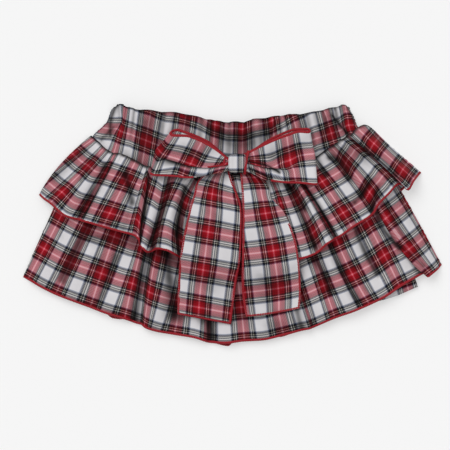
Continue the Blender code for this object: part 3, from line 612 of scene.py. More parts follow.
def smooth(knots, values, at, slopes_of=rounded):
    """A cubic curve through the values."""
    knots, at = np.asarray(knots, float), np.asarray(at, float)
    flat = np.asarray(values, float).reshape(len(knots), -1)
    slopes = slopes_of(knots, flat)
    cell = np.clip(np.searchsorted(knots, at, side="right") - 1, 0, len(knots) - 2)
    span = (knots[cell + 1] - knots[cell])[:, None]
    step = (at - knots[cell])[:, None] / span
    rise = step * step * (3 - 2 * step)
    leave = step * (1 - step) ** 2 * span
    arrive = step * step * (step - 1) * span
    start = flat[cell] * (1 - rise) + slopes[cell] * leave
    result = start + flat[cell + 1] * rise + slopes[cell + 1] * arrive
    return result.reshape((len(at),) + np.shape(values)[1:])


def close_to(away, reach):
    """One at a place, fading out round it."""
    return np.exp(-(away / reach) ** 2)


def resampled(at, places, values):
    return np.column_stack([np.interp(at, places, column) for column in values.T])


def lengths(path):
    """How far each point lies from the first one, along a path or down a grid's columns."""
    steps = np.linalg.norm(np.diff(path, axis=0), axis=-1)
    return np.concatenate([np.zeros((1,) + steps.shape[1:]), np.cumsum(steps, axis=0)])


# ---- The pile: heights of the cloth that already lies on the table ----

def map_place(pile, x, y):
    across = np.clip((x + MAP_HALF_WIDTH) / MAP_CELL, 0, pile.shape[1] - MAP_BORDER)
    up = np.clip((y + MAP_HALF_HEIGHT) / MAP_CELL, 0, pile.shape[0] - MAP_BORDER)
    column = across.astype(int)
    row = up.astype(int)
    return row, column, up - row, across - column


def highest_near(pile, x, y):
    row, column, _, _ = map_place(pile, x, y)
    return np.maximum.reduce([pile[row + up, column + right] for up, right in CELL_CORNERS])


def height_at(pile, x, y):
    row, column, up, across = map_place(pile, x, y)
    near = pile[row, column] * (1 - across) + pile[row, column + 1] * across
    far = pile[row + 1, column] * (1 - across) + pile[row + 1, column + 1] * across
    return near * (1 - up) + far * up


def shifted(pile, rows, columns):
    edge = max(abs(rows), abs(columns), 1)
    padded = np.pad(pile, edge, mode="edge")
    height, width = pile.shape
    return padded[edge + rows:edge + rows + height, edge + columns:edge + columns + width]


def combined(grid, combine, reach, rounds):
    """Each point combined with its neighbours, first up and down and then across."""
    steps = range(-reach, reach + 1)
    for _ in range(rounds):
        grid = combine([shifted(grid, step, 0) for step in steps], axis=0)
        grid = combine([shifted(grid, 0, step) for step in steps], axis=0)
    return grid


def spread(grid, rounds):
    return combined(grid, np.max, 1, rounds)


def blurred(grid, reach, rounds):
    return combined(grid, np.mean, reach, rounds)


def unit(vectors):
    length = np.linalg.norm(vectors, axis=-1, keepdims=True)
    return vectors / np.maximum(length, TINY)


def normals(middle):
    return unit(np.cross(np.gradient(middle, axis=0), np.gradient(middle, axis=1)))


def add_to_pile(pile, middle, wall):
    half = normals(middle) * (np.asarray(wall)[..., None] / 2)
    for side in (middle + half, middle - half):
        points = side.reshape(-1, 3)
        row, column, _, _ = map_place(pile, points[:, 0], points[:, 1])
        for up, right in CELL_CORNERS:
            np.maximum.at(pile, (row + up, column + right), points[:, 2] + LAYER_GAP)


def near_sides(plan):
    """One at a sheet's two sides, fading out over the cloth inside them."""
    run = lengths(np.swapaxes(plan, 0, 1))
    return close_to(np.minimum(run, run[-1] - run), SIDE_REACH).T


def settle(pile, plan, lift, wall, tent, as_one=False, closed=False):
    """Lays a sheet on the pile, raised wherever it would cut into the cloth below."""
    bed = blurred(spread(pile, tent), tent - 1, SMOOTH_ROUNDS)
    x, y = plan[..., 0], plan[..., 1]
    middle = np.dstack([plan, height_at(bed, x, y) + lift + wall / 2])
    floor = highest_near(spread(pile, 1), x, y) + wall / 2
    for _ in range(SETTLE_ROUNDS):
        short = np.maximum(floor - middle[..., 2], 0)
        if short.max() <= 0:
            break
        middle[..., 2] += short.max() if as_one else blurred(spread(short, SETTLE_SPREAD), 1, 1)
    if closed:
        middle[..., 2] -= near_sides(plan) * np.maximum(middle[..., 2] - floor, 0)
    add_to_pile(pile, middle, wall)
    return middle


# ---- Relief ----

def bent(wave, place, other):
    return place * wave.rate + wave.bend * np.sin(other * wave.bend_rate)


def rumple(plan):
    """A faint uneven wave over the whole cloth."""
    x, y = plan[..., 0], plan[..., 1]
    wave = np.sin(bent(RUMPLE_ACROSS, x, y)) * np.cos(bent(RUMPLE_UP, y, x))
    small = RUMPLE_SMALL_SHARE * np.sin(bent(RUMPLE_SMALL, x, y) + y * RUMPLE_SMALL_SLANT)
    return RUMPLE_HEIGHT * (wave + small)


def swung(swing, place):
    return swing.size * np.sin(place * swing.rate + swing.start)


def uneven(swing, place):
    return 1 - swing.size + swung(swing, place)


def gathers(cloth, down):
    """Small uneven gathers that start at a seam and die out below it."""
    phase = cloth * GATHERS_PER_REPEAT + swung(GATHER_DRIFT, cloth)
    ridge = (0.5 + 0.5 * np.cos(2 * np.pi * phase)) ** GATHER_SHARPNESS
    reach = GATHER_FALL * uneven(GATHER_LENGTHS, cloth)
    fade = np.clip(1 - down / reach[None, :], 0, 1) ** GATHER_SHARPNESS
    return GATHER_HEIGHT * fade * (ridge * uneven(GATHER_HEIGHTS, cloth))[None, :]


def creased(node, plan, lift):
    """The lift with the node's creases pressed in, and the light that is left in them."""
    light = np.ones_like(lift)
    for crease in CREASES.get(node, ()):
        ends = np.array(crease[:6]).reshape(3, 2)
        path = smooth([0, 0.5, 1], ends, np.linspace(0, 1, CREASE_STEPS))
        nearest = np.full(lift.shape, np.inf)
        for start, end in zip(path[:-1], path[1:]):
            run = end - start
            share = np.clip(((plan - start) @ run) / (run @ run), 0, 1)
            away = np.linalg.norm(plan - start - share[..., None] * run, axis=2)
            nearest = np.minimum(nearest, away)
        profile = close_to(nearest, crease.half_width)
        core = close_to(nearest, crease.half_width * CREASE_CORE_SHARE)
        lift = lift - crease.depth * profile
        light *= 1 - crease.shade * (CREASE_SOFT_SHADE * profile + CREASE_CORE_SHADE * core)
    return lift, light


def slipped(node, columns, row, down):
    """The places on the cut cloth, with the tartan's slips added."""
    cloth = np.dstack([np.broadcast_to(columns, row.shape), row])
    if node in SLIPS:
        table = np.array(SLIPS[node])
        slips = resampled(columns, table[:, 0], table[:, 1:])
        cloth = cloth + slips[:, :2] * (1 - down)[..., None] + slips[:, 2:] * down[..., None]
    return cloth


# ---- Meshes ----

def net_grid(net, knots, at, count, along=without_overshoot, across=rounded):
    """A net of sections as a fine grid, and the grid's shares across the sections."""
    lines = np.swapaxes(smooth(knots, net, at, along), 0, 1)
    share = np.linspace(0, 1, count + 1)
    return smooth(np.linspace(0, 1, len(lines)), lines, share, across), share


def fall_grid(falls, size):
    """A falling sheet's places along the cut, its plan, its lift and its shares down."""
    cloth = np.array([fall.cloth for fall in falls])
    columns = np.linspace(cloth[0], cloth[-1], size[0] + 1)
    net = np.array([
        [
            (fall.top_x, fall.top_y, fall.mid_lift * SEAM_LIFT_SHARE),
            (fall.mid_x, fall.mid_y, fall.mid_lift),
            (fall.hem_x, fall.hem_y, fall.mid_lift if fall.hem_lift is None else fall.hem_lift),
        ]
        for fall in falls
    ])
    grid, down = net_grid(net, cloth, columns, size[1])
    return columns, grid[..., :2].copy(), np.maximum(grid[..., 2], 0), down[:, None]


def hollows(middle):
    """How much light a point keeps: less where the cloth round it stands higher."""
    height = middle[..., 2]
    depth = np.clip((blurred(height, HOLLOW_REACH, 2) - height) / HOLLOW_DEPTH, 0, 1)
    columns = np.arange(height.shape[1])
    inside = np.clip(np.minimum(columns, columns[::-1]) / HOLLOW_MARGIN, 0, 1) ** 2
    return 1 - HOLLOW_SHADE * depth * inside


def quads(index, following):
    """Faces between a grid's lines of points and the lines that follow them."""
    corners = [index[:-1], index[1:], following[1:], following[:-1]]
    return np.stack(corners, axis=-1).reshape(-1, 4)


def cloth_object(node, slot, points, faces, flat, light):
    """The cloth that takes its solid's place."""
    item = mesh_object("cloth_" + node, points, faces, MATERIALS[slot], flat, light)
    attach(item, "root")
    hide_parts(node)
    return item


def shell(node, middle, above, below, cloth, slot, shade=1.0):
    """A closed thin wall round a grid of points, with the cloth's own coordinates."""
    normal = normals(middle)
    rows, columns = middle.shape[:2]
    index = np.arange(rows * columns).reshape(rows, columns)
    under = rows * columns
    face = quads(index[:, :-1], index[:, 1:])
    rim = np.concatenate([index[:, 0], index[-1, 1:], index[-2::-1, -1], index[0, -2:0:-1]])
    following = np.roll(rim, -1)
    edge = np.column_stack([following, rim, rim + under, following + under])
    faces = np.vstack([face, face[:, ::-1] + under, edge])
    points = np.stack([middle + normal * above, middle - normal * below]).reshape(-1, 3)
    flat = np.tile(cloth.reshape(-1, 2), (2, 1))
    light = (hollows(middle) * shade).ravel()
    return cloth_object(node, slot, points, faces, flat, np.tile(light, 2))


def mesh_object(name, points, faces, material, flat=None, light=None):
    mesh = bpy.data.meshes.new(name)
    count, sides = faces.shape
    mesh.vertices.add(len(points))
    mesh.vertices.foreach_set("co", (points * MM).astype(np.float32).ravel())
    mesh.loops.add(count * sides)
    mesh.loops.foreach_set("vertex_index", faces.astype(np.int32).ravel())
    mesh.polygons.add(count)
    mesh.polygons.foreach_set("loop_start", np.arange(count, dtype=np.int32) * sides)
    mesh.update(calc_edges=True)
    if flat is not None:
        layer = mesh.uv_layers.new(name="Cloth")
        layer.data.foreach_set("uv", flat[faces.ravel()].astype(np.float32).ravel())
    if light is not None:
        attribute = mesh.attributes.new("Light", "FLOAT", "POINT")
        attribute.data.foreach_set("value", light.astype(np.float32))
    mesh.materials.append(material)
    mesh.shade_smooth()
    mesh.validate()
    return placed(name, mesh)


def placed(name, data):
    item = bpy.data.objects.new(name, data)
    bpy.context.scene.collection.objects.link(item)
    return item


def evenly(path, step):
    """The path's points, spaced evenly along it."""
    length = lengths(path)
    count = max(int(length[-1] / step), OVERLOCK_FEWEST)
    at = np.linspace(0, length[-1], count)
    return resampled(at, length, path), at


def overlock(name, edge, inner, half_width=OVERLOCK_HALF_WIDTH):
    """Stitching that wraps an edge: a flattened tube with the stitches' ridges."""
    path, at = evenly(edge, OVERLOCK_STEP)
    inside, _ = evenly(inner, OVERLOCK_STEP)
    inside = resampled(np.linspace(0, 1, len(path)), np.linspace(0, 1, len(inside)), inside)
    along = unit(np.gradient(path, axis=0))
    inward = inside - path
    inward = unit(inward - along * (inward * along).sum(1, keepdims=True))
    up = np.cross(along, inward)
    centre = path + inward * OVERLOCK_INSET
    ridge = 1 + OVERLOCK_RELIEF * np.sin(2 * np.pi * at / OVERLOCK_STITCH)[:, None]
    turn = np.linspace(0, 2 * np.pi, OVERLOCK_SIDES, endpoint=False)
    wide, high = inward * half_width * ridge, up * OVERLOCK_HALF_HEIGHT * ridge
    lines = [centre + wide * np.cos(angle) + high * np.sin(angle) for angle in turn]
    points = np.stack(lines, axis=1).reshape(-1, 3)
    index = np.arange(len(points)).reshape(len(path), OVERLOCK_SIDES)
    face = quads(index, np.roll(index, -1, axis=1))
    ends = [
        [ring[0], *ring[k:k + 3]][::flip]
        for ring, flip in ((index[0], 1), (index[-1], -1))
        for k in range(1, OVERLOCK_SIDES - 2, 2)
    ]
    flat = np.column_stack([np.repeat(at, OVERLOCK_SIDES), np.tile(turn, len(path))])
    item = mesh_object("overlock_" + name, points, np.vstack([face, ends]), THREAD, flat)
    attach(item, "root")
    return item


# ---- Materials ----

# The tartan from the middle of a white stripe (0) to the middle of a red one (1).
# Colours are as they look in daylight, from 0 to 1.
Stripe = namedtuple("Stripe", "start red green blue")
SETT = rows(
    Stripe,
    (0, 0.82, 0.81, 0.82),
    (0.295, 0.5, 0.53, 0.6),
    (0.33, 0.17, 0.19, 0.26),
    (0.37, 0.05, 0.055, 0.085),
    (0.455, 0.64, 0.62, 0.56),
    (0.49, 0.07, 0.08, 0.1),
    (0.555, 0.78, 0.75, 0.73),
    (0.6, 0.12, 0.12, 0.13),
    (0.665, 0.29, 0.06, 0.09),
    (0.71, 0.49, 0.06, 0.1),
    (0.77, 0.38, 0.03, 0.06),
    (0.805, 0.54, 0.07, 0.12),
    (0.86, 0.47, 0.04, 0.09),
    (0.895, 0.62, 0.1, 0.15),
    (0.96, 0.82, 0.44, 0.48),
)
# Where threads of two colours cross, the darker one shows more than its share.
DARKER_THREAD = 0.12
DAYLIGHT = 2.2

# The twill: ribs per repeat, and how far the upper thread covers the lower one on a rib.
TWILL_PER_REPEAT = 24.0
RIB_EDGES = (0.25, 0.75)
RIB_COVER = (0.26, 0.74)
RIB_HEIGHT = 0.6
SHEEN = 0.03
SHEEN_ROUGHNESS = 0.6

# Noise: scale a metre and detail.
CLOUDS = (90.0, 3.0)
FUZZ = (1800.0, 2.0)
PAPER_GRAIN = (400.0, 4.0)
CLOUD_TINT = 0.08
CLOUD_DARKEST = 0.96

# The thread's red, and a darker red painted as shade in the grooves between the stitches' ridges.
OVERLOCK_RED = (0.38, 0.008, 0.018, 1.0)
OVERLOCK_GROOVE_SHADE = (0.21, 0.004, 0.009, 1.0)
THREAD_WIDTH = 0.55
THREAD_SLANT = 0.25

PAPER_GREY = (0.5, 0.5, 0.5, 1.0)
PAPER_GLOW = 0.42
WHITE = (1.0, 1.0, 1.0, 1.0)

# How strongly a surface's relief shows, its roughness and how that follows the relief.
Finish = namedtuple("Finish", "bump roughness change specular")
CLOTH_FINISH = Finish(0.35, 0.80, 0.12, 0.1)
THREAD_FINISH = Finish(0.6, 0.62, -0.12, 0.3)
PAPER_FINISH = Finish(0.05, 0.95, 0.0, 0.1)
BUMP_DISTANCE = 0.0002


class Nodes:
    """A material's node tree, built one node at a time."""

    def __init__(self, name):
        self.material = bpy.data.materials.new(name)
        self.material.use_nodes = True
        self.tree = self.material.node_tree
        self.shader = self.tree.nodes["Principled BSDF"]

    def add(self, kind, inputs=(), **settings):
        node = self.tree.nodes.new(kind)
        for key, value in settings.items():
            setattr(node, key, value)
        for place, value in dict(inputs).items():
            if isinstance(value, bpy.types.NodeSocket):
                self.tree.links.new(value, node.inputs[place])
            else:
                node.inputs[place].default_value = value
        return node

    def maths(self, operation, *values):
        return self.add("ShaderNodeMath", dict(enumerate(values)), operation=operation).outputs[0]

    def mix(self, share, first, second, blend="MIX"):
        """A blend of two colours: all first at share 0 and all second at share 1."""
        inputs = {0: share, 6: first, 7: second}
        return self.add("ShaderNodeMix", inputs, data_type="RGBA", blend_type=blend).outputs[2]

    def noise(self, kind):
        place = self.add("ShaderNodeTexCoord").outputs["Object"]
        return self.add(
            "ShaderNodeTexNoise", {"Vector": place, "Scale": kind[0], "Detail": kind[1]}).outputs[0]

    def ribs(self, place):
        """A wave that is 0 at whole numbers and 1 halfway between them."""
        return self.maths("MULTIPLY", self.maths("PINGPONG", place, 0.5), 2.0)

    def cloth(self):
        """The places along and down the cut cloth."""
        flat = self.add("ShaderNodeUVMap", uv_map="Cloth").outputs[0]
        split = self.add("ShaderNodeSeparateXYZ", {0: flat})
        return split.outputs[0], split.outputs[1]

    def set(self, **values):
        for place, value in values.items():
            self.shader.inputs[place.replace("_", " ")].default_value = value

    def link(self, socket, place):
        self.tree.links.new(socket, self.shader.inputs[place])

    def finish(self, finish, height, follows=None):
        relief = {"Strength": finish.bump, "Distance": BUMP_DISTANCE, "Height": height}
        self.link(self.add("ShaderNodeBump", relief).outputs[0], "Normal")
        self.set(Roughness=finish.roughness, Specular_IOR_Level=finish.specular)
        if follows is not None:
            rough = self.maths("MULTIPLY_ADD", follows, finish.change, finish.roughness)
            self.link(rough, "Roughness")
        return self.material


def stripes(nodes, coordinate):
    """One set of threads: the stripe's colour at a place along the cloth."""
    ramp = nodes.add("ShaderNodeValToRGB", {0: nodes.ribs(coordinate)})
    ramp.color_ramp.interpolation = "CONSTANT"
    elements = ramp.color_ramp.elements
    elements.remove(elements[1])
    for count, stripe in enumerate(SETT):
        element = elements[0] if count == 0 else elements.new(stripe.start)
        element.position = stripe.start
        element.color = (stripe.red, stripe.green, stripe.blue, 1.0)
    return ramp.outputs[0]


def tartan(name):
    nodes = Nodes(name)
    across, down = nodes.cloth()
    twill = nodes.ribs(nodes.maths("MULTIPLY", nodes.maths("ADD", across, down), TWILL_PER_REPEAT))
    cover = dict(enumerate((twill, *RIB_EDGES, *RIB_COVER)))
    share = nodes.add("ShaderNodeMapRange", cover).outputs[0]
    warp, weft = stripes(nodes, across), stripes(nodes, down)
    woven = nodes.mix(share, warp, weft)
    mixed = nodes.mix(DARKER_THREAD, woven, nodes.mix(1.0, warp, weft, "DARKEN"))
    tint = nodes.maths("MULTIPLY_ADD", nodes.noise(CLOUDS), CLOUD_TINT, CLOUD_DARKEST)
    # The Light attribute is painted shade: it darkens the base colour in hollows, in creases, at seams
    # and at the waist.
    light = nodes.add("ShaderNodeAttribute", attribute_name="Light").outputs["Fac"]
    toned_and_shaded = nodes.mix(1.0, mixed, nodes.maths("MULTIPLY", tint, light), "MULTIPLY")
    nodes.link(nodes.add("ShaderNodeGamma", {0: toned_and_shaded, 1: DAYLIGHT}).outputs[0], "Base Color")
    nodes.set(Sheen_Weight=SHEEN, Sheen_Roughness=SHEEN_ROUGHNESS)
    fuzz = nodes.noise(FUZZ)
    return nodes.finish(CLOTH_FINISH, nodes.maths("MULTIPLY_ADD", twill, RIB_HEIGHT, fuzz), fuzz)


def thread(name):
    nodes = Nodes(name)
    along, round_edge = nodes.cloth()
    stitch = nodes.maths("DIVIDE", along, THREAD_WIDTH)
    ridge = nodes.ribs(nodes.maths("MULTIPLY_ADD", round_edge, THREAD_SLANT, stitch))
    nodes.link(nodes.mix(ridge, OVERLOCK_GROOVE_SHADE, OVERLOCK_RED), "Base Color")
    return nodes.finish(THREAD_FINISH, ridge, ridge)


def paper(name):
    nodes = Nodes(name)
    nodes.set(Base_Color=PAPER_GREY, Emission_Color=WHITE, Emission_Strength=PAPER_GLOW)
    return nodes.finish(PAPER_FINISH, nodes.noise(PAPER_GRAIN))


MATERIALS = {
    slot: tartan(slot)
    for slot in (
        "tartan_body", "tartan_upper_ruffle", "tartan_lower_ruffle", "tartan_shorts", "tartan_bow")
}
THREAD = thread("overlock_thread")
PAPER = paper("pale_paper")


# ---- Panels ----

def panel(node, middle, cloth, slot, shade=1.0):
    return shell(node, middle, WALL / 2, SHELL - WALL / 2, cloth, slot, shade)


def ruffle(pile, node, falls, size, hem_row, back=False):
    columns, plan, lift, down = fall_grid(falls, size)
    if back:
        share = (columns - columns[0]) / (columns[-1] - columns[0])
        wave = np.maximum(0, -np.cos(2 * np.pi * BACK_GATHERS * share)) ** 2
        rise = BACK_GATHER_SEAM_SHARE + (1 - BACK_GATHER_SEAM_SHARE) * down
        lift = lift + BACK_GATHER_HEIGHT * wave * rise
    else:
        lift = lift * FOLD_SCALE + gathers(columns, down)
    lift, light = creased(node, plan, lift)
    lift = np.maximum(lift + rumple(plan), 0)
    tent = BACK_TENT if back else FRONT_TENT
    middle = settle(pile, plan, lift, WALL, tent, closed=True)
    drop = lengths(plan)
    near_seam = close_to(drop, SEAM_TUCK_WIDTH)
    middle[..., 2] = np.maximum(middle[..., 2] - SEAM_TUCK * near_seam, WALL / 2)
    cloth = slipped(node, columns, (drop[-1] - drop) / REPEAT + hem_row, down)
    light *= 1 - SEAM_SHADE * near_seam
    item = panel(node, middle, cloth, "tartan_" + node.rsplit("_", 1)[0], light)
    edge = middle[-1] + normals(middle)[-1] * HEM_RISE
    return item, [overlock(node, edge, middle[-3])]


def body(pile, node, falls, size, tent):
    columns, plan, lift, down = fall_grid(falls, size)
    drop = lengths(plan) / REPEAT
    row = drop - np.interp(columns, *np.array(WAIST_ROWS).T)
    share = (columns - columns[0]) / (columns[-1] - columns[0])
    wave = np.sin(np.pi * WAIST_GATHERS * share) ** 2
    gather = np.clip(1 - down / WAIST_GATHER_FALL, 0, 1)
    puckers = np.sin(np.pi * WAIST_PUCKERS * share + swung(WAIST_PUCKER_DRIFT, share)) ** 2
    lift = lift + gather * (WAIST_GATHER_HEIGHT * wave + WAIST_PUCKER_HEIGHT * puckers)
    for bend in SIDE_BENDS:
        side = close_to(columns - columns[bend.side], SIDE_BEND_FADE)
        plan[..., 0] += bend.depth * side * close_to(plan[..., 1] - bend.y, SIDE_BEND_REACH)
    plan[..., 1] += WAIST_RIPPLE * gather ** WAIST_RIPPLE_FALL * (wave - 1)
    lift, light = creased(node, plan, lift)
    light *= 1 - WAIST_PUCKER_SHADE * np.sqrt(gather) * (1 - puckers)
    light *= 1 - WAIST_EDGE_SHADE * close_to(drop * REPEAT, WAIST_EDGE_WIDTH)
    lift = np.maximum(lift + rumple(plan), 0)
    casing = np.clip(1 - down / CASING_SHARE, 0, 1) * np.ones_like(lift)
    wall = WALL + (ELASTIC_WALL - WALL) * casing
    middle = settle(pile, plan, lift, wall, tent, closed=True)
    cloth = slipped(node, columns, row, down)
    half = (wall / 2)[..., None]
    below = half - (WALL - SHELL) * (1 - casing)[..., None]
    return shell(node, middle, half, below, cloth, "tartan_body", light), []


def shorts(pile, node):
    columns, plan, lift, _ = fall_grid(SHORTS, SHORTS_GRID)
    lift = np.maximum(lift + rumple(plan), 0)
    middle = settle(pile, plan, lift, WALL, BACK_TENT)
    cloth = np.dstack([np.broadcast_to(columns, lift.shape), lengths(plan) / REPEAT])
    return panel(node, middle, cloth, "tartan_shorts"), []


def tail(pile, node, bands, end_row):
    places = np.arange(len(bands))
    net = np.array([
        [
            (band.left_x, band.left_y, band.left_lift, band.left_cloth),
            (band.mid_x, band.mid_y, band.mid_lift, (band.left_cloth + band.right_cloth) / 2),
            (band.right_x, band.right_y, band.right_lift, band.right_cloth),
        ]
        for band in bands
    ])
    at = np.linspace(0, places[-1], TAIL_GRID[1] + 1)
    grid, across = net_grid(net, places, at, TAIL_GRID[0], rounded)
    grid = np.swapaxes(grid, 0, 1)
    plan = grid[..., :2].copy()
    near_knot = np.clip(1 - at / TAIL_PLEAT_BANDS, 0, 1)[:, None] ** TAIL_PLEAT_FADE
    wave = np.cos(2 * np.pi * (TAIL_PLEATS * across + TAIL_PLEAT_START))
    pleats = TAIL_PLEAT_HEIGHT * near_knot * wave[None, :]
    lift = np.maximum(grid[..., 2] + pleats + rumple(plan), 0)
    middle = settle(pile, plan, lift, WALL, FRONT_TENT)
    drop = lengths(plan)
    cloth = np.dstack([grid[..., 3], (drop[-1] - drop) / REPEAT + end_row])
    item = panel(node, middle, cloth, "tartan_bow")
    shown = FOLDED_ROWS.get(node)
    edge = np.vstack([middle[:, 0], middle[-1, 1:], middle[-2:shown:-1, -1]])
    inner = np.vstack([middle[:-2, 2], middle[-3, 2:-2], middle[-3:shown:-1, -3]])
    return item, [overlock(node, edge, inner)]


def bow_loop(pile, node, places):
    net = []
    for p in places:
        top = np.array([p.top_x, p.top_y, p.top_lift, p.top_cloth, LOOP_TOP_ROW])
        fold = np.array([p.fold_x, p.fold_y, p.fold_lift, (p.top_cloth + p.low_cloth) / 2, p.fold_row])
        low = np.array([p.low_x, p.low_y, p.low_lift, p.low_cloth, p.low_row])
        under = fold + (top - fold) * TUCK_REACH
        under[2] = min(fold[2], low[2]) - TUCK_DROP * p.tuck
        tucked = (fold + low) / 2 * (1 - p.tuck) + under * p.tuck
        tucked[3], tucked[4] = (fold[3] + low[3]) / 2, p.tuck_row
        net.append((top, (top + fold) / 2, fold, tucked, low))
    knots = np.arange(len(places))
    at = np.linspace(0, knots[-1], LOOP_GRID[1] + 1)
    grid, _ = net_grid(np.array(net), knots, at, LOOP_GRID[0], across=without_overshoot)
    plan = grid[..., :2].copy()
    lift = grid[..., 2] + LOOP_RUMPLE_SHARE * rumple(plan)
    pressed, light = creased(node, plan, lift)
    front = at > knots[-1] / 2
    lift = np.where(front, pressed, lift)
    light = np.where(front, light, 1.0)
    middle = settle(pile, plan, lift, WALL, FRONT_TENT, as_one=True)
    item = shell(node, middle, SHELL / 2, SHELL / 2, grid[..., 3:5], "tartan_bow", light)
    shown = np.flatnonzero(np.abs(middle[-1, :, 0]) > LOW_OVERLOCK_END_X)[-1]
    top = (middle[0], middle[LOOP_EDGE_ROWS])
    low = (middle[-1, :shown], middle[-1 - LOOP_EDGE_ROWS, :shown])
    threads = [
        overlock("top_" + node, *top, BOW_OVERLOCK_HALF_WIDTH),
        overlock("low_" + node, *low, LOW_OVERLOCK_HALF_WIDTH),
    ]
    if node == "bow_loop_left":
        threads.append(turned_edge("end_" + node, middle))
    return item, threads


def turned_edge(name, middle):
    """Where the left loop's front half is turned in at the knot, its stitched edge shows."""
    fold = LOOP_GRID[0] // 2
    end = np.flatnonzero(middle[0, :, 0] < TURNED_EDGE_X)[-1]
    back = end - TURNED_EDGE_COLUMNS
    raised = middle + normals(middle) * TURNED_EDGE_RISE
    edge = np.vstack([raised[:fold, end], raised[fold, end:back:-1]])
    inside = middle[fold - LOOP_EDGE_ROWS, end:back:-1]
    inner = np.vstack([middle[:fold, end - LOOP_EDGE_ROWS], inside])
    return overlock(name, edge, inner, TURNED_EDGE_HALF_WIDTH)


def knot_edge(pile):
    """The stitched edge of the knot's band, down its right side."""
    places = np.array(KNOT_EDGE)
    steps = np.linspace(0, len(places) - 1, KNOT_EDGE_STEPS)
    path = smooth(np.arange(len(places)), places, steps)
    rise = height_at(spread(pile, 1), path[:, 0], path[:, 1])
    edge = np.column_stack([path, blurred(rise[:, None], 2, 1)[:, 0]])
    inner = edge - np.array(KNOT_EDGE_TURN)
    overlock("bow_knot", edge, inner, BOW_OVERLOCK_HALF_WIDTH)


def knot(pile):
    """The knot: a short band pulled tight round the middle of the bow."""
    share = np.linspace(-1, 1, KNOT_SEAT_SAMPLES)
    seat_x = KNOT_CENTRE[0] + share * (KNOT_HALF[0] - KNOT_SEAT_MARGIN)
    seat_y = KNOT_CENTRE[1] + share * (KNOT_HALF[1] - KNOT_SEAT_MARGIN)
    base = highest_near(pile, *np.meshgrid(seat_x, seat_y)).max()
    turn = np.linspace(0, 2 * np.pi, 2 * KNOT_GRID, endpoint=False)
    rise = np.linspace(-np.pi / 2, np.pi / 2, KNOT_GRID)[:, None]
    power = 2 / KNOT_SQUARENESS

    def squared(value):
        return np.sign(value) * np.abs(value) ** power

    x = KNOT_HALF[0] * squared(np.cos(turn)) * squared(np.cos(rise))
    y = KNOT_HALF[1] * squared(np.sin(turn)) * squared(np.cos(rise))
    z = KNOT_HEIGHT / 2 * (1 + squared(np.sin(rise))) * np.ones_like(x)
    pleat = np.cos(np.pi * KNOT_PLEATS * x / KNOT_HALF[0] + KNOT_PLEAT_START)
    z = z + KNOT_PLEAT_HEIGHT * pleat * np.clip(z / KNOT_HEIGHT, 0, 1) ** 2
    points = np.dstack([x + KNOT_CENTRE[0], y + KNOT_CENTRE[1], z + base])
    index = np.arange(points.shape[0] * points.shape[1]).reshape(points.shape[:2])
    nxt = np.roll(index, -1, axis=1)
    faces = np.stack([index[:-1], nxt[:-1], nxt[1:], index[1:]], axis=-1).reshape(-1, 4)
    flat = (points[..., :2].reshape(-1, 2) - np.array(KNOT_WHITE)) / REPEAT
    cloth_object("bow_knot", "tartan_bow", points.reshape(-1, 3), faces, flat, np.ones(len(flat)))


def build():
    """All pieces, from the table up; each sheet is kept with its threads."""
    pile = np.zeros([int(2 * half / MAP_CELL) + 1 for half in (MAP_HALF_HEIGHT, MAP_HALF_WIDTH)])
    made = {}

    def add(make, node, *details):
        made[node] = make(pile, node, *details)

    add(ruffle, "upper_ruffle_back", UPPER_RUFFLE_BACK, BACK_GRID, UPPER_HEM_ROW, True)
    add(ruffle, "lower_ruffle_back", LOWER_RUFFLE_BACK, BACK_GRID, LOWER_HEM_ROW, True)
    add(body, "body_back", BODY_BACK, BACK_GRID, BACK_TENT)
    add(shorts, "shorts_back")
    add(shorts, "shorts_front")
    add(body, "body_front", BODY_FRONT, BODY_GRID, FRONT_TENT)
    add(ruffle, "lower_ruffle_front", LOWER_RUFFLE, LOWER_GRID, LOWER_HEM_ROW)
    add(ruffle, "upper_ruffle_front", UPPER_RUFFLE, RUFFLE_GRID, UPPER_HEM_ROW)
    add(tail, "bow_tail_left", LEFT_TAIL, LEFT_TAIL_END_ROW)
    add(tail, "bow_tail_right", RIGHT_TAIL, RIGHT_TAIL_END_ROW)
    knot(pile)
    add(bow_loop, "bow_loop_left", LEFT_LOOP)
    add(bow_loop, "bow_loop_right", RIGHT_LOOP)
    knot_edge(pile)
    return made


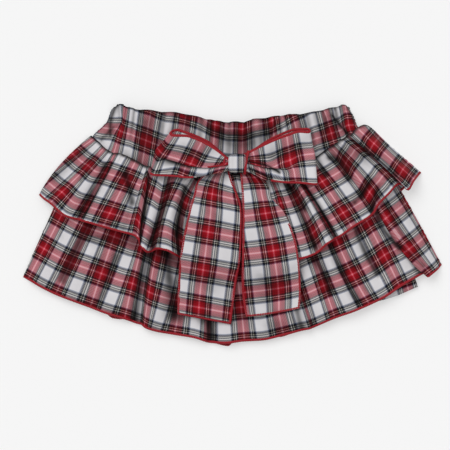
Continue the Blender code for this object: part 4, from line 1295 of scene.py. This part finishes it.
def sun(place):
    """An even soft light that comes from the given direction."""
    lamp = bpy.data.lights.new(place.name, "SUN")
    lamp.angle = np.radians(place.spread)
    lamp.energy = place.strength
    item = placed(place.name, lamp)
    item.location = place.direction
    item.rotation_euler = Vector(place.direction).to_track_quat("Z", "Y").to_euler()


def studio():
    size = FLOOR_SIZE / 2 / MM
    corners = size * np.array([(-1, -1, 0), (1, -1, 0), (1, 1, 0), (-1, 1, 0)], float)
    mesh_object("floor", corners, np.array([[0, 1, 2, 3]]), PAPER)
    world = bpy.data.worlds.new("studio")
    world.use_nodes = True
    sky = world.node_tree.nodes["Background"].inputs
    sky[0].default_value = WHITE
    sky[1].default_value = WORLD_LIGHT
    bpy.context.scene.world = world
    for place in SUNS:
        sun(place)
    camera = placed("camera", bpy.data.cameras.new("camera"))
    camera.data.lens = LENS
    camera.data.sensor_width = SENSOR
    camera.data.clip_end = CAMERA_CLIP_END
    camera.location = (*VIEW_CENTRE, VIEW_WIDTH * LENS / SENSOR + CAMERA_RISE)
    bpy.context.scene.camera = camera
    bpy.context.scene.view_settings.view_transform = "Standard"


# The flat cut of each piece that shows, in metres.
Cut = namedtuple("Cut", "piece width length held rests_on")
CUTS = rows(
    Cut,
    ("upper_ruffle_back", 0.46, 0.071, "gathered", "floor"),
    ("lower_ruffle_back", 0.47, 0.113, "gathered", "floor"),
    ("body_back", 0.31, 0.080, "gathered", "cloth_upper_ruffle_back"),
    ("shorts_back", 0.30, 0.15, "laid", "cloth_body_back"),
    ("shorts_front", 0.30, 0.15, "laid", "cloth_shorts_back"),
    ("body_front", 0.31, 0.080, "gathered", "cloth_shorts_front"),
    ("lower_ruffle_front", 0.484, 0.113, "gathered", "cloth_shorts_front"),
    ("upper_ruffle_front", 0.58, 0.071, "gathered", "cloth_lower_ruffle_front"),
    ("bow_tail_left", 0.053, 0.137, "laid", "cloth_upper_ruffle_front"),
    ("bow_tail_right", 0.052, 0.134, "laid", "cloth_upper_ruffle_front"),
    ("bow_loop_left", 0.052, 0.14, "folded", "cloth_body_front"),
    ("bow_loop_right", 0.052, 0.14, "folded", "cloth_body_front"),
)


made = build()
studio()
